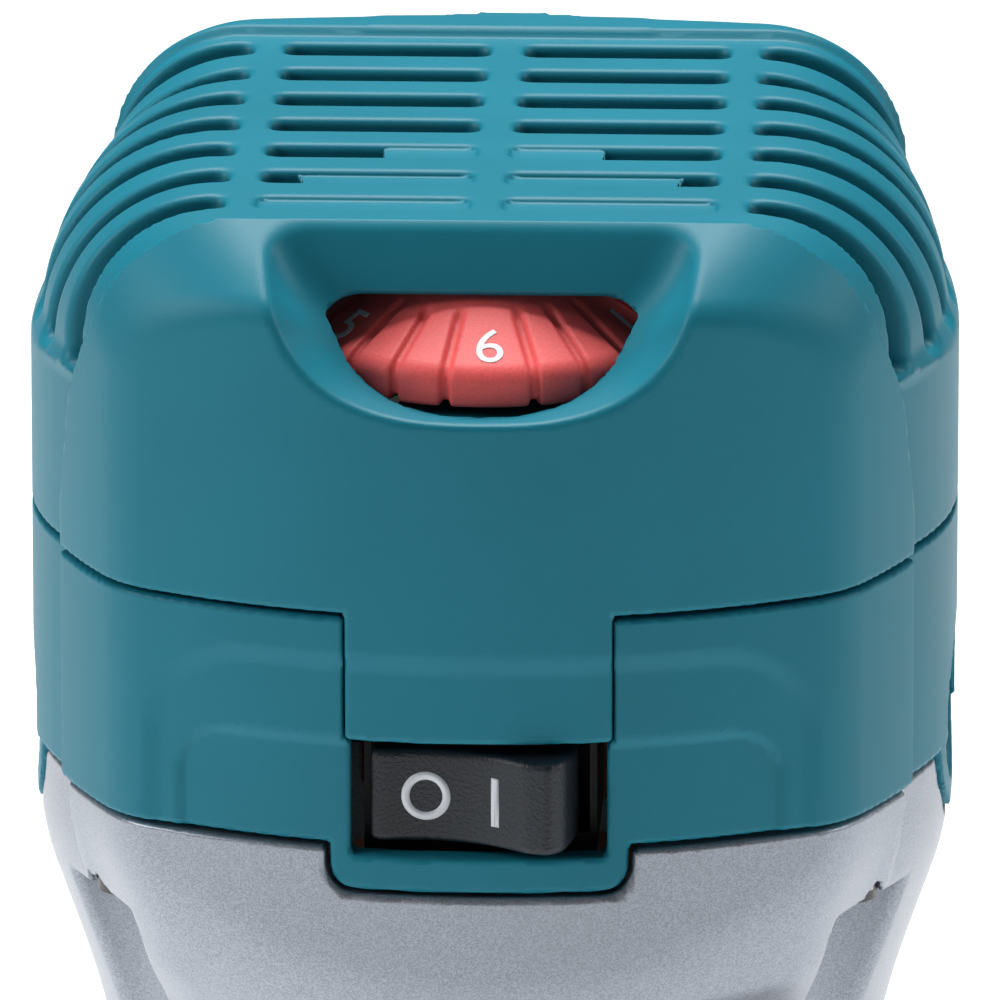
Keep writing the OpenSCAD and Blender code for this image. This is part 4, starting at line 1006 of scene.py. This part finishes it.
class TickTree:
    """Node tree that makes a ladder of scale lines, long at every fifth and tenth."""

    def __init__(self) -> None:
        """Builds the tree with its named inputs."""
        self.tree = bpy.data.node_groups.new("scale_lines", "GeometryNodeTree")
        face = self.tree.interface
        self.ids: dict[str, str] = {}
        kinds = {"Count": "NodeSocketInt", "Pitch": "NodeSocketFloat", "Short": "NodeSocketFloat",
                 "Thick": "NodeSocketFloat", "Ink": "NodeSocketMaterial"}
        for name, kind in kinds.items():
            self.ids[name] = face.new_socket(name, in_out="INPUT", socket_type=kind).identifier
        face.new_socket("Geometry", in_out="OUTPUT", socket_type="NodeSocketGeometry")
        source = self.node("NodeGroupInput").outputs
        rise = self.node("ShaderNodeCombineXYZ", {}, {2: source["Pitch"]})
        line = self.node("GeometryNodeMeshLine", {"mode": "OFFSET"},
                         {"Count": source["Count"], "Offset": rise.outputs[0]})
        number = self.node("GeometryNodeInputIndex").outputs[0]
        parts = []
        for every, gain in ((5, 0.5), (10, 0.6)):
            rest = self.node("ShaderNodeMath", {"operation": "MODULO"}, {0: number, 1: float(every)})
            hit = self.node("ShaderNodeMath", {"operation": "LESS_THAN"}, {0: rest.outputs[0], 1: 0.5})
            longer = self.node("ShaderNodeMath", {"operation": "MULTIPLY"}, {0: hit.outputs[0], 1: gain})
            parts.append(longer.outputs[0])
        more = self.node("ShaderNodeMath", {"operation": "ADD"}, {0: parts[0], 1: parts[1]})
        whole = self.node("ShaderNodeMath", {"operation": "ADD"}, {0: more.outputs[0], 1: 1.0})
        stretch = self.node("ShaderNodeCombineXYZ", {}, {0: whole.outputs[0], 1: 1.0, 2: 1.0})
        size = self.node("ShaderNodeCombineXYZ", {}, {
            0: source["Short"], 1: source["Thick"], 2: source["Thick"]})
        bar = self.node("GeometryNodeMeshCube", {}, {"Size": size.outputs[0], "Vertices X": 4})
        half = self.node("ShaderNodeMath", {"operation": "MULTIPLY"}, {0: source["Short"], 1: 0.5})
        shift = self.node("ShaderNodeCombineXYZ", {}, {0: half.outputs[0]})
        moved = self.node("GeometryNodeTransform", {}, {
            "Geometry": bar.outputs[0], "Translation": shift.outputs[0]})
        placed = self.node("GeometryNodeInstanceOnPoints", {}, {
            "Points": line.outputs[0], "Instance": moved.outputs[0], "Scale": stretch.outputs[0]})
        real = self.node("GeometryNodeRealizeInstances", {}, {0: placed.outputs[0]})
        inked = self.node("GeometryNodeSetMaterial", {}, {
            "Geometry": real.outputs[0], "Material": source["Ink"]})
        self.node("NodeGroupOutput", {}, {0: inked.outputs[0]})

    def node(self, kind: str, settings: dict | None = None, sockets: dict | None = None) -> bpy.types.Node:
        """Adds a node with its settings and its sockets' values or links."""
        made = self.tree.nodes.new(kind)
        for key, value in (settings or {}).items():
            setattr(made, key, value)
        for key, value in (sockets or {}).items():
            if isinstance(value, bpy.types.NodeSocket):
                self.tree.links.new(value, made.inputs[key])
            else:
                made.inputs[key].default_value = value
        return made

    def grow(self, name: str, **values: object) -> bpy.types.Object:
        """Makes a plain mesh from the tree.

        Args:
            name: The piece's name.
            values: The tree's inputs by name.

        Returns:
            The piece.
        """
        obj = new_object(name, np.zeros((1, 3)), [])
        grower = obj.modifiers.new("grow", "NODES")
        grower.node_group = self.tree
        for key, value in values.items():
            grower[self.ids[key]] = value
        return baked(obj)


@dataclass
class DepthScale:
    """Lines on the depth scale strip."""

    angle: float = 232.0
    span: float = 16.0
    low: float = 78.0
    radius: float = 32.5
    count: int = 37
    margin: float = 2.0

    def build(self) -> None:
        """Makes the lines and wraps them on the barrel."""
        dark = ink("black_ink", BLACK_INK)
        sizes = {"Pitch": 1.0 * MM, "Short": 2.2 * MM, "Thick": 0.16 * MM}
        lines = TickTree().grow("scale_lines", Count=self.count, Ink=dark, **sizes)
        start = math.radians(self.angle - self.span / 2.0) * self.radius + 0.6
        for vertex in lines.data.vertices:
            along = vertex.co.x / MM + start
            out = self.radius + vertex.co.y / MM * 0.3
            turn = along / self.radius
            height = vertex.co.z / MM + self.low + self.margin
            vertex.co = Vector((out * math.cos(turn), out * math.sin(turn), height)) * MM
        lines.data.update()
        settle(lines, "motor_unit", "scale_foil", material=dark)


@dataclass
class Softened:
    """CAD nodes whose shape is right but whose edges need rounding."""

    def build(self) -> None:
        """Makes a rounded piece for each."""
        jobs = (
            ("base_casting", "base", "cast_alloy", 0.85, 0.9),
            ("base_plate", "base", "black_plastic", 0.7, 0.8),
            ("lock_lever", "clamp_lever", "lever_metal", 0.4, 1.0),
            ("cam_saddle", "base", "black_plastic", 0.35, 0.8),
            ("depth_knob", "depth_pinion", "black_plastic", 0.3, 1.0),
            ("collet_nut", "nut", "dark_steel", 0.3, 0.9),
            ("brush_caps", "motor_unit", "black_plastic", 0.25, 0.9),
            ("lock_button", "spindle_lock", "black_plastic", 0.25, 0.9),
            ("cord_bush", "motor_unit", "rubber", 0.28, 0.9),
            ("rack_screws", "motor_unit", "zinc_steel", 0.2, 0.8),
        )
        for node, body, slot, voxel, blur in jobs:
            if node in frame["nodes"]:
                settle(soften("soft_" + node, node, voxel, blur), body, slot, node)


NODE_SLOTS: dict[str, str] = {
    "base_screws": "zinc_steel", "clamp_bolt": "zinc_steel", "clamp_nut": "zinc_steel",
    "lever_pin": "ground_steel",
    "pinion_shaft": "ground_steel", "knob_screw": "zinc_steel", "shaft_clip": "dark_steel",
    "depth_scale": "scale_foil", "depth_rack": "ground_steel", "stator_core": "lamination",
    "stator_coils": "copper", "lower_bearing": "bearing_steel", "bearing_retainer": "zinc_steel",
    "retainer_screws": "zinc_steel", "air_baffle": "black_plastic", "upper_bearing": "bearing_steel",
    "brush_holders": "brass", "brush_springs": "zinc_steel", "carbon_brushes": "carbon",
    "switch_body": "black_plastic", "switch_terminals": "brass", "control_board": "board",
    "potentiometer": "black_plastic", "board_parts": "black_plastic", "housing_screws": "dark_steel",
    "spindle": "ground_steel", "collet": "ground_steel", "armature_core": "lamination",
    "armature_windings": "copper", "commutator": "copper", "fan": "black_plastic",
    "lower_bearing_ring": "bearing_steel", "lower_bearing_balls": "bearing_steel",
    "upper_bearing_ring": "bearing_steel", "upper_bearing_balls": "bearing_steel",
    "dial_shaft": "ground_steel", "lock_spring": "ground_steel",
}


def dress_frame() -> None:
    """Gives every CAD node its finish."""
    for name, obj in frame["nodes"].items():
        slot = NODE_SLOTS.get(name, "black_plastic")
        obj.data.materials.clear()
        obj.data.materials.append(finish_of(slot))


# ---------- studio ----------


@dataclass
class Studio:
    """Floor, light and camera."""

    aim: tuple[float, float, float] = (0.4, 0.0, 167.4)
    azimuth: float = 2.1
    elevation: float = 16.5
    away: float = 1.5
    lens: float = 637.0
    lamp_aim: tuple[float, float, float] = (0.0, 0.0, 0.15)
    world_light: float = 0.08
    floor_half: float = 12000.0
    floor_z: float = -0.3

    def floor(self) -> None:
        """Makes the pale floor."""
        side = self.floor_half
        corners = [(-side, -side), (side, -side), (side, side), (-side, side)]
        obj = new_object("floor", np.array([(*at, self.floor_z) for at in corners]), [(0, 1, 2, 3)])
        g = Graph("floor_paper")
        tone = g.noise(3.0, 2.0)
        g.dress(Base_Color=g.mix(tone, (0.90, 0.90, 0.90), (0.92, 0.92, 0.92)), Roughness=tone * 0.1 + 0.75,
                Emission_Color=(1.0, 1.0, 1.0, 1.0), Emission_Strength=0.25)
        obj.data.materials.append(g.material)

    def lamp(self, name: str, at: tuple, size: float, power: float) -> None:
        """Adds a soft square lamp that shines on the head."""
        data = bpy.data.lights.new(name, "AREA")
        data.size = size
        data.energy = power
        obj = bpy.data.objects.new(name, data)
        obj.location = at
        obj.rotation_euler = (Vector(self.lamp_aim) - Vector(at)).to_track_quat("-Z", "Y").to_euler()
        bpy.context.scene.collection.objects.link(obj)

    def build(self) -> None:
        """Makes the floor, the world, the lamps and the camera."""
        self.floor()
        world = bpy.data.worlds.new("studio")
        world.use_nodes = True
        world.node_tree.nodes["Background"].inputs["Color"].default_value = (1.0, 1.0, 1.0, 1.0)
        world.node_tree.nodes["Background"].inputs["Strength"].default_value = self.world_light
        bpy.context.scene.world = world
        self.lamp("top", (-0.05, 0.35, 1.35), 0.7, 23.0)
        self.lamp("left", (-1.15, -0.30, 0.75), 0.5, 7.0)
        self.lamp("right", (1.15, 0.10, 0.65), 0.4, 3.5)
        a, e = math.radians(self.azimuth), math.radians(self.elevation)
        back = Vector((math.sin(a) * math.cos(e), -math.cos(a) * math.cos(e), math.sin(e)))
        data = bpy.data.cameras.new("camera")
        data.lens, data.sensor_width = self.lens, 36.0
        data.clip_end = 100.0
        camera = bpy.data.objects.new("camera", data)
        camera.location = Vector(self.aim) * MM + back * self.away
        camera.rotation_euler = (-back).to_track_quat("-Z", "Y").to_euler()
        bpy.context.scene.collection.objects.link(camera)
        bpy.context.scene.camera = camera
        bpy.context.scene.view_settings.view_transform = "Standard"


def main() -> None:
    """Builds the tool in order."""
    logging.basicConfig(level=logging.INFO, format="%(name)s: %(message)s")
    Studio().build()
    dress_frame()
    for part in (TopCap(), UpperHousing(), BODY, SpeedDial(), Rocker(), DepthScale(), Softened()):
        part.build()


if __name__ == "__main__":
    main()
